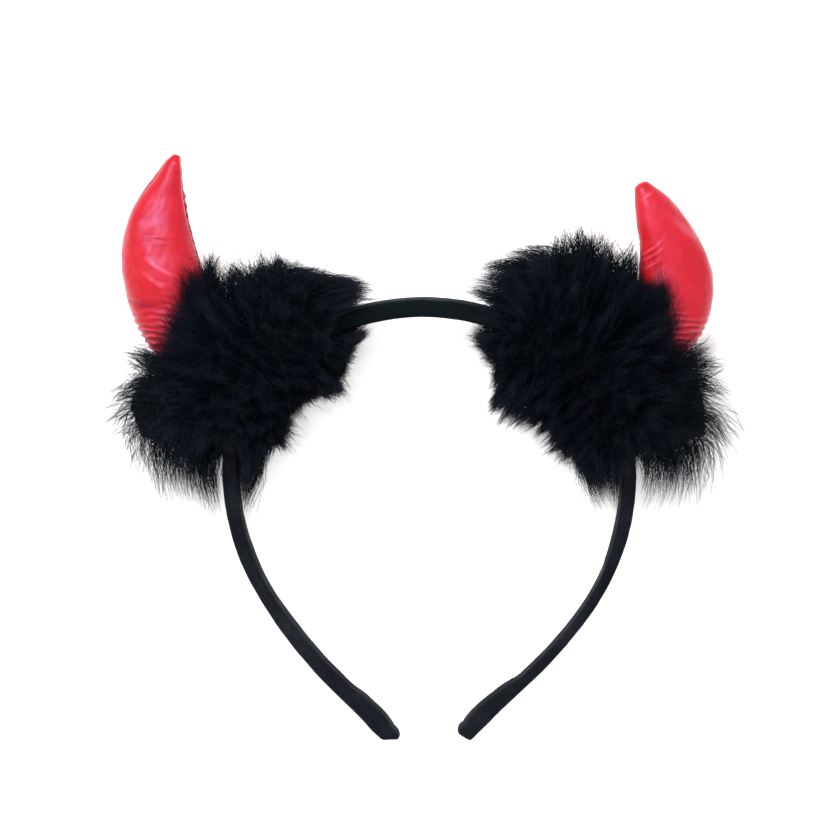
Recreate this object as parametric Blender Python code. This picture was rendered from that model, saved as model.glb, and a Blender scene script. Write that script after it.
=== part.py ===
"""Devil horns headband lying on its side: satin band, two stuffed horns, two fur collars.

Lengths are millimetres in the plane of the band. Across runs to the viewer's right, up runs from
the tips to the crown, deep runs out of that plane. The plane leans a little on the floor because
the fur holds the crown up. Tables hold shares of the named sizes beside them.
"""
import math
import random

import bpy
import bmesh
from mathutils import Vector

MM = 0.001

LEAN_DEG = 8.0

# Band: centre line from the middle of the crown out to its widest place, and its section
HALF_SPAN = 64.0
BAND_THICK = 5.2
BAND_WIDE = 12.0
BAND_CORNER = 1.5
BAND_STEP = 6.2
CROWN_FACET = 6.0
TIP_ROUNDING = 3.0

# Arcs from the crown down each leg, radius as a share of HALF_SPAN and turn in degrees
LEFT_ARCS = [
    {"radius": 1.10, "turn": 34.5},
    {"radius": 0.76, "turn": 55.0},
    {"radius": 1.23, "turn": 33.0},
    {"radius": 2.60, "turn": 14.6},
    {"radius": 0.97, "turn": -15.4},
]
RIGHT_ARCS = [
    {"radius": 1.17, "turn": 38.0},
    {"radius": 0.80, "turn": 55.5},
    {"radius": 1.17, "turn": 31.4},
    {"radius": 2.23, "turn": 13.6},
    {"radius": 3.90, "turn": -5.3},
]

# Section at shares of the leg's length; fold is extra on the inner side, a share of BAND_THICK
LEFT_SECTION = [
    {"at": 0.00, "thick": 1.00, "wide": 1.00, "fold": 0.00},
    {"at": 0.23, "thick": 1.02, "wide": 1.00, "fold": 0.00},
    {"at": 0.43, "thick": 0.98, "wide": 0.94, "fold": 0.00},
    {"at": 0.53, "thick": 0.92, "wide": 0.87, "fold": 0.00},
    {"at": 0.64, "thick": 0.92, "wide": 0.80, "fold": 0.00},
    {"at": 0.81, "thick": 1.04, "wide": 0.73, "fold": 0.00},
    {"at": 0.89, "thick": 1.08, "wide": 0.71, "fold": 0.07},
    {"at": 0.93, "thick": 1.08, "wide": 0.71, "fold": 0.22},
    {"at": 0.96, "thick": 1.06, "wide": 0.71, "fold": 0.16},
    {"at": 1.00, "thick": 1.04, "wide": 0.70, "fold": 0.04},
]
RIGHT_SECTION = [
    {"at": 0.00, "thick": 1.00, "wide": 1.00, "fold": 0.00},
    {"at": 0.23, "thick": 1.02, "wide": 1.00, "fold": 0.00},
    {"at": 0.43, "thick": 0.98, "wide": 0.94, "fold": 0.00},
    {"at": 0.53, "thick": 0.88, "wide": 0.87, "fold": 0.00},
    {"at": 0.64, "thick": 0.77, "wide": 0.80, "fold": 0.00},
    {"at": 0.78, "thick": 0.74, "wide": 0.73, "fold": 0.00},
    {"at": 0.86, "thick": 0.80, "wide": 0.71, "fold": 0.06},
    {"at": 0.91, "thick": 0.88, "wide": 0.71, "fold": 0.26},
    {"at": 0.95, "thick": 0.92, "wide": 0.71, "fold": 0.20},
    {"at": 1.00, "thick": 0.92, "wide": 0.70, "fold": 0.04},
]

# Horns: reach of the spine, full width in plane and full depth at the fattest place
HORN_SEAT_LEFT = 0.306
HORN_LEFT_LENGTH = 76.0
HORN_LEFT_WIDE = 25.2
HORN_LEFT_DEEP = 21.0
HORN_SEAT_RIGHT = 0.311
HORN_RIGHT_LENGTH = 65.0
HORN_RIGHT_WIDE = 24.2
HORN_RIGHT_DEEP = 20.4

# Spine from the foot, out and rise as shares of the horn's length, wide and deep of its own sizes
HORN_LEFT = [
    {"out": 0.00, "rise": 0.00, "wide": 0.63, "deep": 0.56},
    {"out": 0.05, "rise": -0.02, "wide": 0.65, "deep": 0.59},
    {"out": 0.17, "rise": -0.03, "wide": 0.78, "deep": 0.76},
    {"out": 0.31, "rise": -0.02, "wide": 0.90, "deep": 0.91},
    {"out": 0.43, "rise": 0.04, "wide": 0.98, "deep": 0.99},
    {"out": 0.53, "rise": 0.12, "wide": 1.00, "deep": 1.00},
    {"out": 0.61, "rise": 0.20, "wide": 0.95, "deep": 0.95},
    {"out": 0.68, "rise": 0.29, "wide": 0.82, "deep": 0.84},
    {"out": 0.72, "rise": 0.38, "wide": 0.62, "deep": 0.65},
    {"out": 0.75, "rise": 0.46, "wide": 0.42, "deep": 0.46},
    {"out": 0.77, "rise": 0.53, "wide": 0.25, "deep": 0.28},
    {"out": 0.78, "rise": 0.57, "wide": 0.12, "deep": 0.13},
]
HORN_RIGHT = [
    {"out": 0.00, "rise": 0.00, "wide": 0.64, "deep": 0.57},
    {"out": 0.08, "rise": -0.02, "wide": 0.66, "deep": 0.61},
    {"out": 0.22, "rise": -0.03, "wide": 0.79, "deep": 0.78},
    {"out": 0.37, "rise": -0.01, "wide": 0.93, "deep": 0.92},
    {"out": 0.49, "rise": 0.05, "wide": 1.00, "deep": 1.00},
    {"out": 0.58, "rise": 0.13, "wide": 0.97, "deep": 0.98},
    {"out": 0.65, "rise": 0.24, "wide": 0.88, "deep": 0.88},
    {"out": 0.69, "rise": 0.34, "wide": 0.73, "deep": 0.74},
    {"out": 0.72, "rise": 0.45, "wide": 0.57, "deep": 0.59},
    {"out": 0.735, "rise": 0.53, "wide": 0.40, "deep": 0.43},
    {"out": 0.745, "rise": 0.60, "wide": 0.21, "deep": 0.24},
]
HORN_RING = 14
HORN_STEP = 2.7

# Gathers above the foot and soft creases across the horn, depths as shares of its half width
HORN_GATHER = 0.045
HORN_GATHER_FROM = 0.27
HORN_GATHER_TO = 0.47
HORN_CREASES = [
    {"at": 0.50, "depth": 0.030, "span": 0.020},
    {"at": 0.62, "depth": 0.035, "span": 0.022},
]
HORN_SEAM = 0.55
HORN_FOOT_BLEND = 0.15
SEAT_GAP = 0.25

# Fur collars: length along the band before and after the horn's seat, and reach to the lock ends
FUR_LEFT_BEFORE = 32.5
FUR_LEFT_AFTER = 23.5
FUR_LEFT_OUT = 40.0
FUR_LEFT_IN = 18.5
FUR_LEFT_FRONT = 24.0
FUR_LEFT_BACK = 20.0
FUR_RIGHT_BEFORE = 35.5
FUR_RIGHT_AFTER = 24.5
FUR_RIGHT_OUT = 40.0
FUR_RIGHT_IN = 27.5
FUR_RIGHT_FRONT = 24.0
FUR_RIGHT_BACK = 20.0
FUR_LEFT = [
    {"at": -0.12, "outward": 0.35, "inward": 0.66, "front": 0.58, "back": 0.70},
    {"at": 0.02, "outward": 0.68, "inward": 0.84, "front": 0.75, "back": 0.90},
    {"at": 0.18, "outward": 0.82, "inward": 0.95, "front": 0.88, "back": 1.00},
    {"at": 0.38, "outward": 0.97, "inward": 1.03, "front": 0.96, "back": 1.00},
    {"at": 0.59, "outward": 0.95, "inward": 1.00, "front": 1.00, "back": 1.00},
    {"at": 0.77, "outward": 0.93, "inward": 1.00, "front": 0.96, "back": 1.00},
    {"at": 0.93, "outward": 0.99, "inward": 0.95, "front": 0.83, "back": 0.95},
    {"at": 1.09, "outward": 0.90, "inward": 0.87, "front": 0.67, "back": 0.85},
    {"at": 1.27, "outward": 0.48, "inward": 0.55, "front": 0.38, "back": 0.65},
]
FUR_RIGHT = [
    {"at": -0.13, "outward": 0.38, "inward": 0.44, "front": 0.58, "back": 0.70},
    {"at": 0.00, "outward": 0.68, "inward": 0.62, "front": 0.75, "back": 0.90},
    {"at": 0.17, "outward": 0.90, "inward": 0.89, "front": 0.88, "back": 1.00},
    {"at": 0.33, "outward": 1.00, "inward": 1.03, "front": 0.96, "back": 1.00},
    {"at": 0.57, "outward": 0.90, "inward": 1.03, "front": 1.00, "back": 1.00},
    {"at": 0.73, "outward": 0.90, "inward": 0.98, "front": 0.96, "back": 1.00},
    {"at": 0.88, "outward": 1.05, "inward": 0.85, "front": 0.83, "back": 0.95},
    {"at": 1.07, "outward": 0.85, "inward": 0.71, "front": 0.67, "back": 0.85},
    {"at": 1.25, "outward": 0.50, "inward": 0.44, "front": 0.38, "back": 0.65},
]
FUR_STATIONS = 10
FUR_AROUND = 16
FUR_PATCH_STATIONS = 3
FUR_FOOT_SQUARENESS = 4.0
FUR_LOOK_PAST = 22.0
FUR_CORE = {"outward": 0.70, "inward": 0.62, "front": 0.68, "back": 0.66}
FUR_CORE_ENDS = [0.72, 0.92]
FUR_TUNNEL_SHARES = [0.07, 0.14, 0.22, 0.31]
FUR_CHANNEL_GAP = 0.45
FUR_CHANNEL_CORNER = 1.0
FUR_HORN_GAP = 1.2
FUR_END_LOCK_CROWN = 10.0
FUR_END_LOCK_LEG = 17.0
FUR_FAN = 10.0
FUR_WRAP = 0.27

# Locks: a ring at a share of the length, then a point
LOCK_RING_AT = 0.52
LOCK_RING_TAPER = 0.66
LOCK_SCATTER = 2.0
LOCK_LENGTH_SCATTER = 0.14
LOCK_STRETCH = 1.08
LOCK_CLEAR = 0.8
LOCK_FLOOR = 0.25

MATERIALS = {
    "band_satin": {"base_color": (0.012, 0.013, 0.018, 1.0), "roughness": 0.42},
    "horn_satin": {"base_color": (0.74, 0.025, 0.045, 1.0), "roughness": 0.33},
    "horn_satin_right": {"base_color": (0.74, 0.025, 0.045, 1.0), "roughness": 0.33},
    "fur": {"base_color": (0.006, 0.008, 0.014, 1.0), "roughness": 0.70},
    "fur_right": {"base_color": (0.006, 0.008, 0.014, 1.0), "roughness": 0.70},
}


def clear_scene():
    for item in list(bpy.data.objects):
        bpy.data.objects.remove(item, do_unlink=True)


def smooth_value(table, key, at):
    """Read one column of a table with eased steps between its rows."""
    if at <= table[0]["at"]:
        return table[0][key]
    for low, high in zip(table, table[1:]):
        if at <= high["at"]:
            share = (at - low["at"]) / (high["at"] - low["at"])
            share = share * share * (3.0 - 2.0 * share)
            return low[key] + (high[key] - low[key]) * share
    return table[-1][key]


class Leg:
    """One half of the centre line, from the crown (0) down to its tip."""

    def __init__(self, side, arcs, section):
        self.side = side
        self.section = section
        self.arcs = [(row["radius"] * HALF_SPAN, math.radians(row["turn"])) for row in arcs]
        self.length = sum(radius * abs(turn) for radius, turn in self.arcs)

    def point(self, along):
        """Centre, direction towards the tip and outward normal."""
        across = 0.0
        up = 0.0
        heading = 0.0
        left = along
        for index, (radius, turn) in enumerate(self.arcs):
            signed = math.copysign(radius, turn)
            last = index == len(self.arcs) - 1
            used = left if last else min(left, radius * abs(turn))
            turned = heading + used / signed
            across += signed * (math.sin(turned) - math.sin(heading))
            up -= signed * (math.cos(heading) - math.cos(turned))
            heading = turned
            left -= used
            if left <= 0.0:
                break
        centre = Vector((self.side * across, up, 0.0))
        ahead = Vector((self.side * math.cos(heading), -math.sin(heading), 0.0))
        outward = Vector((self.side * math.sin(heading), math.cos(heading), 0.0))
        return centre, ahead, outward

    def thick(self, along):
        return smooth_value(self.section, "thick", along / self.length) * BAND_THICK

    def wide(self, along):
        return smooth_value(self.section, "wide", along / self.length) * BAND_WIDE

    def fold(self, along):
        return smooth_value(self.section, "fold", along / self.length) * BAND_THICK


LEFT_LEG = Leg(-1.0, LEFT_ARCS, LEFT_SECTION)
RIGHT_LEG = Leg(1.0, RIGHT_ARCS, RIGHT_SECTION)


def band_ring(leg, along, shrink_thick, shrink_wide):
    """Rounded rectangle round the centre line, the inner side fuller where the cover folds over."""
    centre, ahead, outward = leg.point(along)
    half_out = leg.thick(along) / 2.0 * shrink_thick
    half_in = (leg.thick(along) / 2.0 + leg.fold(along)) * shrink_thick
    half_wide = leg.wide(along) / 2.0 * shrink_wide
    corner = min(BAND_CORNER, half_out * 0.55)
    nick = corner * (1.0 - math.sqrt(0.5))
    profile = [
        (half_out, half_wide - corner),
        (half_out - nick, half_wide - nick),
        (half_out - corner, half_wide),
        (-half_in + corner, half_wide),
        (-half_in + nick, half_wide - nick),
        (-half_in, half_wide - corner),
        (-half_in, -half_wide + corner),
        (-half_in + nick, -half_wide + nick),
        (-half_in + corner, -half_wide),
        (half_out - corner, -half_wide),
        (half_out - nick, -half_wide + nick),
        (half_out, -half_wide + corner),
    ]
    return [centre + outward * out + Vector((0.0, 0.0, deep)) for out, deep in profile]


def band_stations(leg):
    """Distances from the crown facet to the rounded tip, with the shrink of the last few."""
    start = CROWN_FACET / 2.0
    stop = leg.length - TIP_ROUNDING
    count = int(round((stop - start) / BAND_STEP))
    rows = [(start + (stop - start) * index / count, 1.0, 1.0) for index in range(count + 1)]
    rows.append((leg.length - TIP_ROUNDING * 0.40, 0.88, 0.93))
    rows.append((leg.length - TIP_ROUNDING * 0.07, 0.55, 0.72))
    return rows


def add_ring(mesh, points):
    return [mesh.verts.new(point) for point in points]


def bridge(mesh, first, second):
    count = len(first)
    for index in range(count):
        after = (index + 1) % count
        mesh.faces.new((first[index], first[after], second[after], second[index]))


def close_ring(mesh, ring, middle, flip):
    hub = mesh.verts.new(middle)
    count = len(ring)
    for index in range(count):
        after = (index + 1) % count
        if flip:
            mesh.faces.new((hub, ring[after], ring[index]))
        else:
            mesh.faces.new((hub, ring[index], ring[after]))


def mean(points):
    total = Vector((0.0, 0.0, 0.0))
    for point in points:
        total += point
    return total / len(points)


def make_band():
    mesh = bmesh.new()
    loops = []
    for along, thin, narrow in reversed(band_stations(LEFT_LEG)):
        loops.append(add_ring(mesh, band_ring(LEFT_LEG, along, thin, narrow)))
    for along, thin, narrow in band_stations(RIGHT_LEG):
        loops.append(add_ring(mesh, band_ring(RIGHT_LEG, along, thin, narrow)))
    for first, second in zip(loops, loops[1:]):
        bridge(mesh, first, second)
    close_ring(mesh, loops[0], mean([vert.co for vert in loops[0]]), True)
    close_ring(mesh, loops[-1], mean([vert.co for vert in loops[-1]]), False)
    return mesh


def spline_rows(rows, share):
    """Catmull-Rom reading of a table, share 0 at its first row and 1 at its last."""
    last = len(rows) - 1
    place = min(max(share, 0.0), 1.0) * last
    index = min(int(place), last - 1)
    part = place - index
    result = {}
    for key in rows[0]:
        here = rows[index][key]
        there = rows[index + 1][key]
        before = rows[index - 1][key] if index > 0 else 2.0 * here - there
        after = rows[index + 2][key] if index + 2 <= last else 2.0 * there - here
        result[key] = 0.5 * (
            2.0 * here
            + (there - before) * part
            + (2.0 * before - 5.0 * here + 4.0 * there - after) * part ** 2
            + (3.0 * here - before - 3.0 * there + after) * part ** 3
        )
    return result


class Horn:
    """A stuffed horn whose foot sits on the outer face of one leg."""

    def __init__(self, leg, seat_share, rows, length, wide, deep):
        self.leg = leg
        self.seat = seat_share * leg.length
        self.rows = rows
        self.reach = length
        self.wide = wide
        self.deep = deep
        centre, ahead, outward = leg.point(self.seat)
        self.foot = centre + outward * (leg.thick(self.seat) / 2.0 + SEAT_GAP)
        self.outward = outward
        self.rise = -ahead
        self.length = 0.0
        for index in range(60):
            here = self.spine(index / 60.0)
            there = self.spine((index + 1) / 60.0)
            self.length += (there - here).length

    def spine(self, share):
        row = spline_rows(self.rows, share)
        return self.foot + (self.outward * row["out"] + self.rise * row["rise"]) * self.reach

    def frame(self, share):
        """Spine point, direction to the tip and the in-plane normal on the concave side."""
        step = 0.004
        low = self.spine(max(share - step, 0.0))
        high = self.spine(min(share + step, 1.0))
        ahead = (high - low).normalized()
        normal = Vector((ahead.y, -ahead.x, 0.0)) * -self.leg.side
        return self.spine(share), ahead, normal

    def sizes(self, share):
        row = spline_rows(self.rows, share)
        return row["wide"] * self.wide / 2.0, row["deep"] * self.deep / 2.0

    def edge(self, share, angle, grow, pleat):
        """Point of the skin; angle 0 is on the seam, at the concave side."""
        centre, ahead, normal = self.frame(share)
        half_wide, half_deep = self.sizes(share)
        half_wide = half_wide * (1.0 + pleat) + grow
        half_deep = half_deep * (1.0 + pleat) + grow
        across = math.cos(angle) * half_wide
        if math.cos(angle) > 0.98:
            across += HORN_SEAM * min(1.0, half_wide / self.wide * 2.5)
        return centre + normal * across + Vector((0.0, 0.0, math.sin(angle) * half_deep))

    def foot_edge(self, angle, grow, lift, power):
        """Point of the foot, laid on the curve of the band's outer face; power squares its corners."""
        half_wide, half_deep = self.sizes(0.0)
        square = abs(math.cos(angle)) ** power + abs(math.sin(angle)) ** power
        reach = square ** (-1.0 / power)
        along = self.seat - math.cos(angle) * (half_wide + grow) * reach
        centre, ahead, outward = self.leg.point(along)
        out = self.leg.thick(along) / 2.0 + SEAT_GAP + lift
        deep = math.sin(angle) * (half_deep + grow) * reach
        return centre + outward * out + Vector((0.0, 0.0, deep))

    def skin(self, share, angle, grow, pleat):
        """The skin, eased near the foot from the curve of the band to square across the spine."""
        point = self.edge(share, angle, grow, pleat)
        if share >= HORN_FOOT_BLEND:
            return point
        blend = share / HORN_FOOT_BLEND
        rise = self.foot_edge(angle, grow, share * self.length, 2.0)
        return rise.lerp(point, blend * blend * (3.0 - 2.0 * blend))

    def ring(self, share, ring_index):
        pleat = 0.0
        if HORN_GATHER_FROM <= share <= HORN_GATHER_TO:
            middle = (share - HORN_GATHER_FROM) / (HORN_GATHER_TO - HORN_GATHER_FROM)
            pleat = HORN_GATHER * math.sin(math.pi * middle) * (1.0 if ring_index % 2 else -1.0)
        for crease in HORN_CREASES:
            away = (share - crease["at"]) / crease["span"]
            pleat -= crease["depth"] * math.exp(-away * away)
        points = []
        for index in range(HORN_RING):
            angle = 2.0 * math.pi * index / HORN_RING
            wave = pleat * (0.55 + 0.45 * math.cos(2.0 * angle))
            points.append(self.skin(share, angle, 0.0, wave))
        return points

    def clearance(self, point):
        """Distance from a point to the skin, and the direction away from the spine."""
        best = None
        for index in range(41):
            share = index / 40.0
            gap = point - self.spine(share)
            if best is None or gap.length < best[0]:
                best = (gap.length, share, gap)
        distance, share, gap = best
        half_wide, half_deep = self.sizes(share)
        away = gap.normalized() if distance > 1e-6 else Vector((0.0, 0.0, 1.0))
        flat = math.hypot(away.x, away.y)
        skin = 1.0 / math.sqrt((flat / half_wide) ** 2 + (away.z / half_deep) ** 2)
        return distance - skin * 1.06, away


def make_horn(horn):
    mesh = bmesh.new()
    count = int(round(horn.length / HORN_STEP))
    loops = []
    for index in range(count + 1):
        loops.append(add_ring(mesh, horn.ring(index / count, index)))
    for first, second in zip(loops, loops[1:]):
        bridge(mesh, first, second)
    close_ring(mesh, loops[0], horn.foot, True)
    tip, ahead, normal = horn.frame(1.0)
    half_wide, half_deep = horn.sizes(1.0)
    close_ring(mesh, loops[-1], tip + ahead * half_wide * 0.8, False)
    return mesh


HORN_OF_LEFT = Horn(LEFT_LEG, HORN_SEAT_LEFT, HORN_LEFT, HORN_LEFT_LENGTH, HORN_LEFT_WIDE,
                    HORN_LEFT_DEEP)
HORN_OF_RIGHT = Horn(RIGHT_LEG, HORN_SEAT_RIGHT, HORN_RIGHT, HORN_RIGHT_LENGTH, HORN_RIGHT_WIDE,
                     HORN_RIGHT_DEEP)


def lean_point(point, lift):
    """Height above the floor of a point of the band's plane."""
    angle = math.radians(LEAN_DEG)
    return lift + point.y * math.sin(angle) + point.z * math.cos(angle)


class Fur:
    """A collar of locks round one shoulder of the band and the foot of its horn."""

    def __init__(self, horn, table, before, after, reaches, lift, seed):
        self.leg = horn.leg
        self.horn = horn
        self.table = table
        self.start = horn.seat - before
        self.stop = horn.seat + after
        self.reaches = reaches
        self.lift = lift
        self.random = random.Random(seed)
        spread = (self.stop - self.start) / FUR_STATIONS
        self.patch_from = int(round(before / spread - FUR_PATCH_STATIONS / 2.0))
        self.patch_to = self.patch_from + FUR_PATCH_STATIONS

    def along(self, station):
        return self.start + (self.stop - self.start) * station / FUR_STATIONS

    def columns(self, along):
        at = (along - self.start) / (self.stop - self.start)
        return {key: smooth_value(self.table, key, at) * size for key, size in self.reaches.items()}

    def reach(self, angle, columns):
        """Reach in a direction, blended between outward, inward, front and back."""
        flat = math.cos(angle)
        deep = math.sin(angle)
        side = columns["outward"] if flat >= 0.0 else columns["inward"]
        face = columns["front"] if deep >= 0.0 else columns["back"]
        return 1.0 / math.sqrt((flat / side) ** 2 + (deep / face) ** 2)

    def place(self, along, angle, reach):
        centre, ahead, outward = self.leg.point(along)
        direction = outward * math.cos(angle) + Vector((0.0, 0.0, math.sin(angle)))
        return centre + direction * reach

    def core_point(self, station, around):
        angle = 2.0 * math.pi * around / FUR_AROUND
        from_end = min(station, FUR_STATIONS - station)
        swell = FUR_CORE_ENDS[from_end] if from_end < len(FUR_CORE_ENDS) else 1.0
        along = self.along(station)
        columns = self.columns(along)
        columns = {key: columns[key] * share * swell for key, share in FUR_CORE.items()}
        return self.place(along, angle, self.reach(angle, columns))

    def channel_point(self, station, around):
        """The tunnel for the band, a box with cut corners a little larger than the band."""
        along = self.along(station)
        thick = self.leg.thick(along) / 2.0 + FUR_CHANNEL_GAP
        wide = self.leg.wide(along) / 2.0 + FUR_CHANNEL_GAP
        quarter = [(thick, 0.0), (thick, wide * 0.5), (thick, wide - FUR_CHANNEL_CORNER),
                   (thick - FUR_CHANNEL_CORNER, wide), (0.0, wide)]
        half = quarter + [(-out, deep) for out, deep in quarter[-2:0:-1]] + [(-thick, 0.0)]
        profile = half + [(out, -deep) for out, deep in half[-2:0:-1]]
        out, deep = profile[around % FUR_AROUND]
        centre, ahead, outward = self.leg.point(along)
        return centre + outward * out + Vector((0.0, 0.0, deep))

    def clear_of_band(self, moved, radius):
        nearest = None
        for index in range(40):
            span = self.stop - self.start + 2.0 * FUR_LOOK_PAST
            along = max(self.start - FUR_LOOK_PAST + span * index / 39.0, 0.0)
            centre, ahead, outward = self.leg.point(along)
            gap = moved - centre
            if nearest is None or gap.length < nearest[0]:
                nearest = (gap.length, gap, along, outward)
        distance, gap, along, outward = nearest
        out = gap.dot(outward)
        half_thick = self.leg.thick(along) / 2.0 + radius + LOCK_CLEAR
        half_wide = self.leg.wide(along) / 2.0 + radius + LOCK_CLEAR
        if abs(out) >= half_thick or abs(gap.z) >= half_wide:
            return moved
        if half_thick - abs(out) < half_wide - abs(gap.z):
            return moved + outward * math.copysign(half_thick - abs(out), out)
        return moved + Vector((0.0, 0.0, math.copysign(half_wide - abs(gap.z), gap.z)))

    def clear_of_others(self, point, radius):
        """Move the middle of a lock away from the horn, the band and the floor."""
        moved = point.copy()
        for turn in range(6):
            gap, away = self.horn.clearance(moved)
            if gap < radius + LOCK_CLEAR:
                moved += away * (radius + LOCK_CLEAR - gap)
            moved = self.clear_of_band(moved, radius)
            height = lean_point(moved, self.lift)
            least = radius * 0.75 + LOCK_FLOOR
            if height < least:
                moved.z += (least - height) / math.cos(math.radians(LEAN_DEG))
        return moved

    def grow_lock(self, mesh, corners, target, normal):
        """Pull one quad out into a tapering curved lock that ends at the target."""
        places = [vert.co.copy() for vert in corners]
        middle = mean(places)
        spread = sum((place - middle).length for place in places) / len(places)
        bend = middle + normal * (target - middle).length * 0.55
        share = LOCK_RING_AT
        centre = (middle * (1.0 - share) ** 2 + bend * 2.0 * share * (1.0 - share)
                  + target * share ** 2)
        centre = self.clear_of_others(centre, spread * LOCK_RING_TAPER * 0.85)
        ring = [mesh.verts.new(centre + (place - middle) * LOCK_RING_TAPER) for place in places]
        bridge(mesh, corners, ring)
        pull = self.clear_of_others(target, 0.5) - middle
        longest = (target - middle).length * LOCK_STRETCH
        if pull.length > longest:
            pull = pull.normalized() * longest
        tip = mesh.verts.new(middle + pull)
        count = len(ring)
        for index in range(count):
            mesh.faces.new((ring[index], ring[(index + 1) % count], tip))

    def lock_target(self, along, angle, short):
        reach = self.reach(angle, self.columns(along)) * short
        reach *= 1.0 + LOCK_LENGTH_SCATTER * self.random.uniform(-1.0, 0.3)
        target = self.place(along, angle, reach)
        scatter = LOCK_SCATTER * (0.62 + 0.38 * math.cos(angle))
        target += Vector((self.random.uniform(-1.0, 1.0), self.random.uniform(-1.0, 1.0),
                          self.random.uniform(-1.0, 1.0))) * scatter
        return target


def fur_tunnel(mesh, fur, inner, outer):
    """Open the walls round the horn and line the hole; gives back the columns of the lining."""
    low = fur.patch_from
    high = fur.patch_to
    rim = [(low, around) for around in (-2, -1, 0, 1, 2)]
    rim += [(station, 2) for station in range(low + 1, high)]
    rim += [(high, around) for around in (2, 1, 0, -1, -2)]
    rim += [(station, -2) for station in range(high - 1, low, -1)]
    columns = []
    for station, around in rim:
        flat = (station - (low + high) / 2.0) / (FUR_PATCH_STATIONS / 2.0)
        angle = math.atan2(around / 2.0, -flat)
        inner_vert = inner[station][around % FUR_AROUND]
        outer_vert = outer[station][around % FUR_AROUND]
        inner_vert.co = fur.horn.foot_edge(angle, FUR_HORN_GAP, FUR_CHANNEL_GAP - SEAT_GAP,
                                           FUR_FOOT_SQUARENESS)
        column = [inner_vert]
        for share in FUR_TUNNEL_SHARES[:-1]:
            column.append(mesh.verts.new(fur.horn.skin(share, angle, FUR_HORN_GAP, 0.0)))
        outer_vert.co = fur.horn.skin(FUR_TUNNEL_SHARES[-1], angle, FUR_HORN_GAP, 0.0)
        column.append(outer_vert)
        columns.append(column)
    return columns


def make_fur(fur):
    mesh = bmesh.new()
    stations = range(FUR_STATIONS + 1)
    around_all = range(FUR_AROUND)
    outer = [add_ring(mesh, [fur.core_point(station, around) for around in around_all])
             for station in stations]
    inner = [add_ring(mesh, [fur.channel_point(station, around) for around in around_all])
             for station in stations]
    columns = fur_tunnel(mesh, fur, inner, outer)
    low = fur.patch_from
    high = fur.patch_to
    turn = 1 if fur.leg.side < 0.0 else -1
    locks = []
    for station in range(FUR_STATIONS):
        for around in range(FUR_AROUND):
            signed = around if around <= FUR_AROUND // 2 else around - FUR_AROUND
            if low <= station < high and -2 <= signed < 2:
                continue
            after = (around + 1) % FUR_AROUND
            quad = (outer[station][around], outer[station + 1][around],
                    outer[station + 1][after], outer[station][after])
            lining = (inner[station][around], inner[station][after],
                      inner[station + 1][after], inner[station + 1][around])
            mesh.faces.new(lining[::turn])
            locks.append((quad[::turn], station + 0.5, around + 0.5, 0))
    for around in range(FUR_AROUND):
        after = (around + 1) % FUR_AROUND
        first = (inner[0][around], outer[0][around], outer[0][after], inner[0][after])
        last = (inner[-1][around], inner[-1][after], outer[-1][after], outer[-1][around])
        locks.append((first[::turn], 0.0, around + 0.5, -1))
        locks.append((last[::turn], float(FUR_STATIONS), around + 0.5, 1))
    count = len(columns)
    for index in range(count):
        here = columns[index]
        there = columns[(index + 1) % count]
        for low_here, low_there, high_there, high_here in zip(here, there, there[1:], here[1:]):
            mesh.faces.new((low_here, low_there, high_there, high_here)[::turn])
    for quad, station, around, end in locks:
        angle = 2.0 * math.pi * around / FUR_AROUND
        along = fur.along(station)
        centre, ahead, outward = fur.leg.point(along)
        round_out = outward * math.cos(angle) + Vector((0.0, 0.0, math.sin(angle)))
        if end:
            beyond = FUR_END_LOCK_LEG if end > 0 else -FUR_END_LOCK_CROWN
            beyond *= fur.random.uniform(0.65, 1.0)
            target = fur.lock_target(along + beyond, angle, 0.82)
            normal = (ahead * end + round_out * 0.5).normalized()
        else:
            lean = (station / FUR_STATIONS - 0.5) * FUR_FAN + fur.random.uniform(-2.5, 2.5)
            turned = angle + fur.random.uniform(-0.12, 0.12)
            beside = abs(station - (low + high) / 2.0) < 2.4
            if beside and abs(math.sin(angle)) > 0.6 and math.cos(angle) > -0.1:
                turned -= math.copysign(FUR_WRAP, math.sin(angle))
            target = fur.lock_target(along + lean, turned, 1.0)
            normal = round_out
        fur.grow_lock(mesh, list(quad), target, normal)
    return mesh


def lean_over(mesh):
    """Lean the band's plane on the floor."""
    angle = math.radians(LEAN_DEG)
    for vert in mesh.verts:
        across, up, deep = vert.co
        vert.co = Vector((across, up * math.cos(angle) - deep * math.sin(angle),
                          up * math.sin(angle) + deep * math.cos(angle)))


def finish_mesh(name, mesh, slot):
    bmesh.ops.triangulate(mesh, faces=list(mesh.faces), quad_method="FIXED")
    for vert in mesh.verts:
        vert.co = vert.co * MM
    if mesh.calc_volume(signed=True) < 0.0:
        bmesh.ops.reverse_faces(mesh, faces=list(mesh.faces))
    data = bpy.data.meshes.new(name)
    mesh.to_mesh(data)
    mesh.free()
    item = bpy.data.objects.new(name, data)
    bpy.context.scene.collection.objects.link(item)
    data.materials.append(slot)
    return item


def make_material(name, values):
    slot = bpy.data.materials.new(name)
    slot.use_nodes = True
    shader = slot.node_tree.nodes["Principled BSDF"]
    shader.inputs["Base Color"].default_value = values["base_color"]
    shader.inputs["Roughness"].default_value = values["roughness"]
    slot.diffuse_color = values["base_color"]
    return slot


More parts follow.
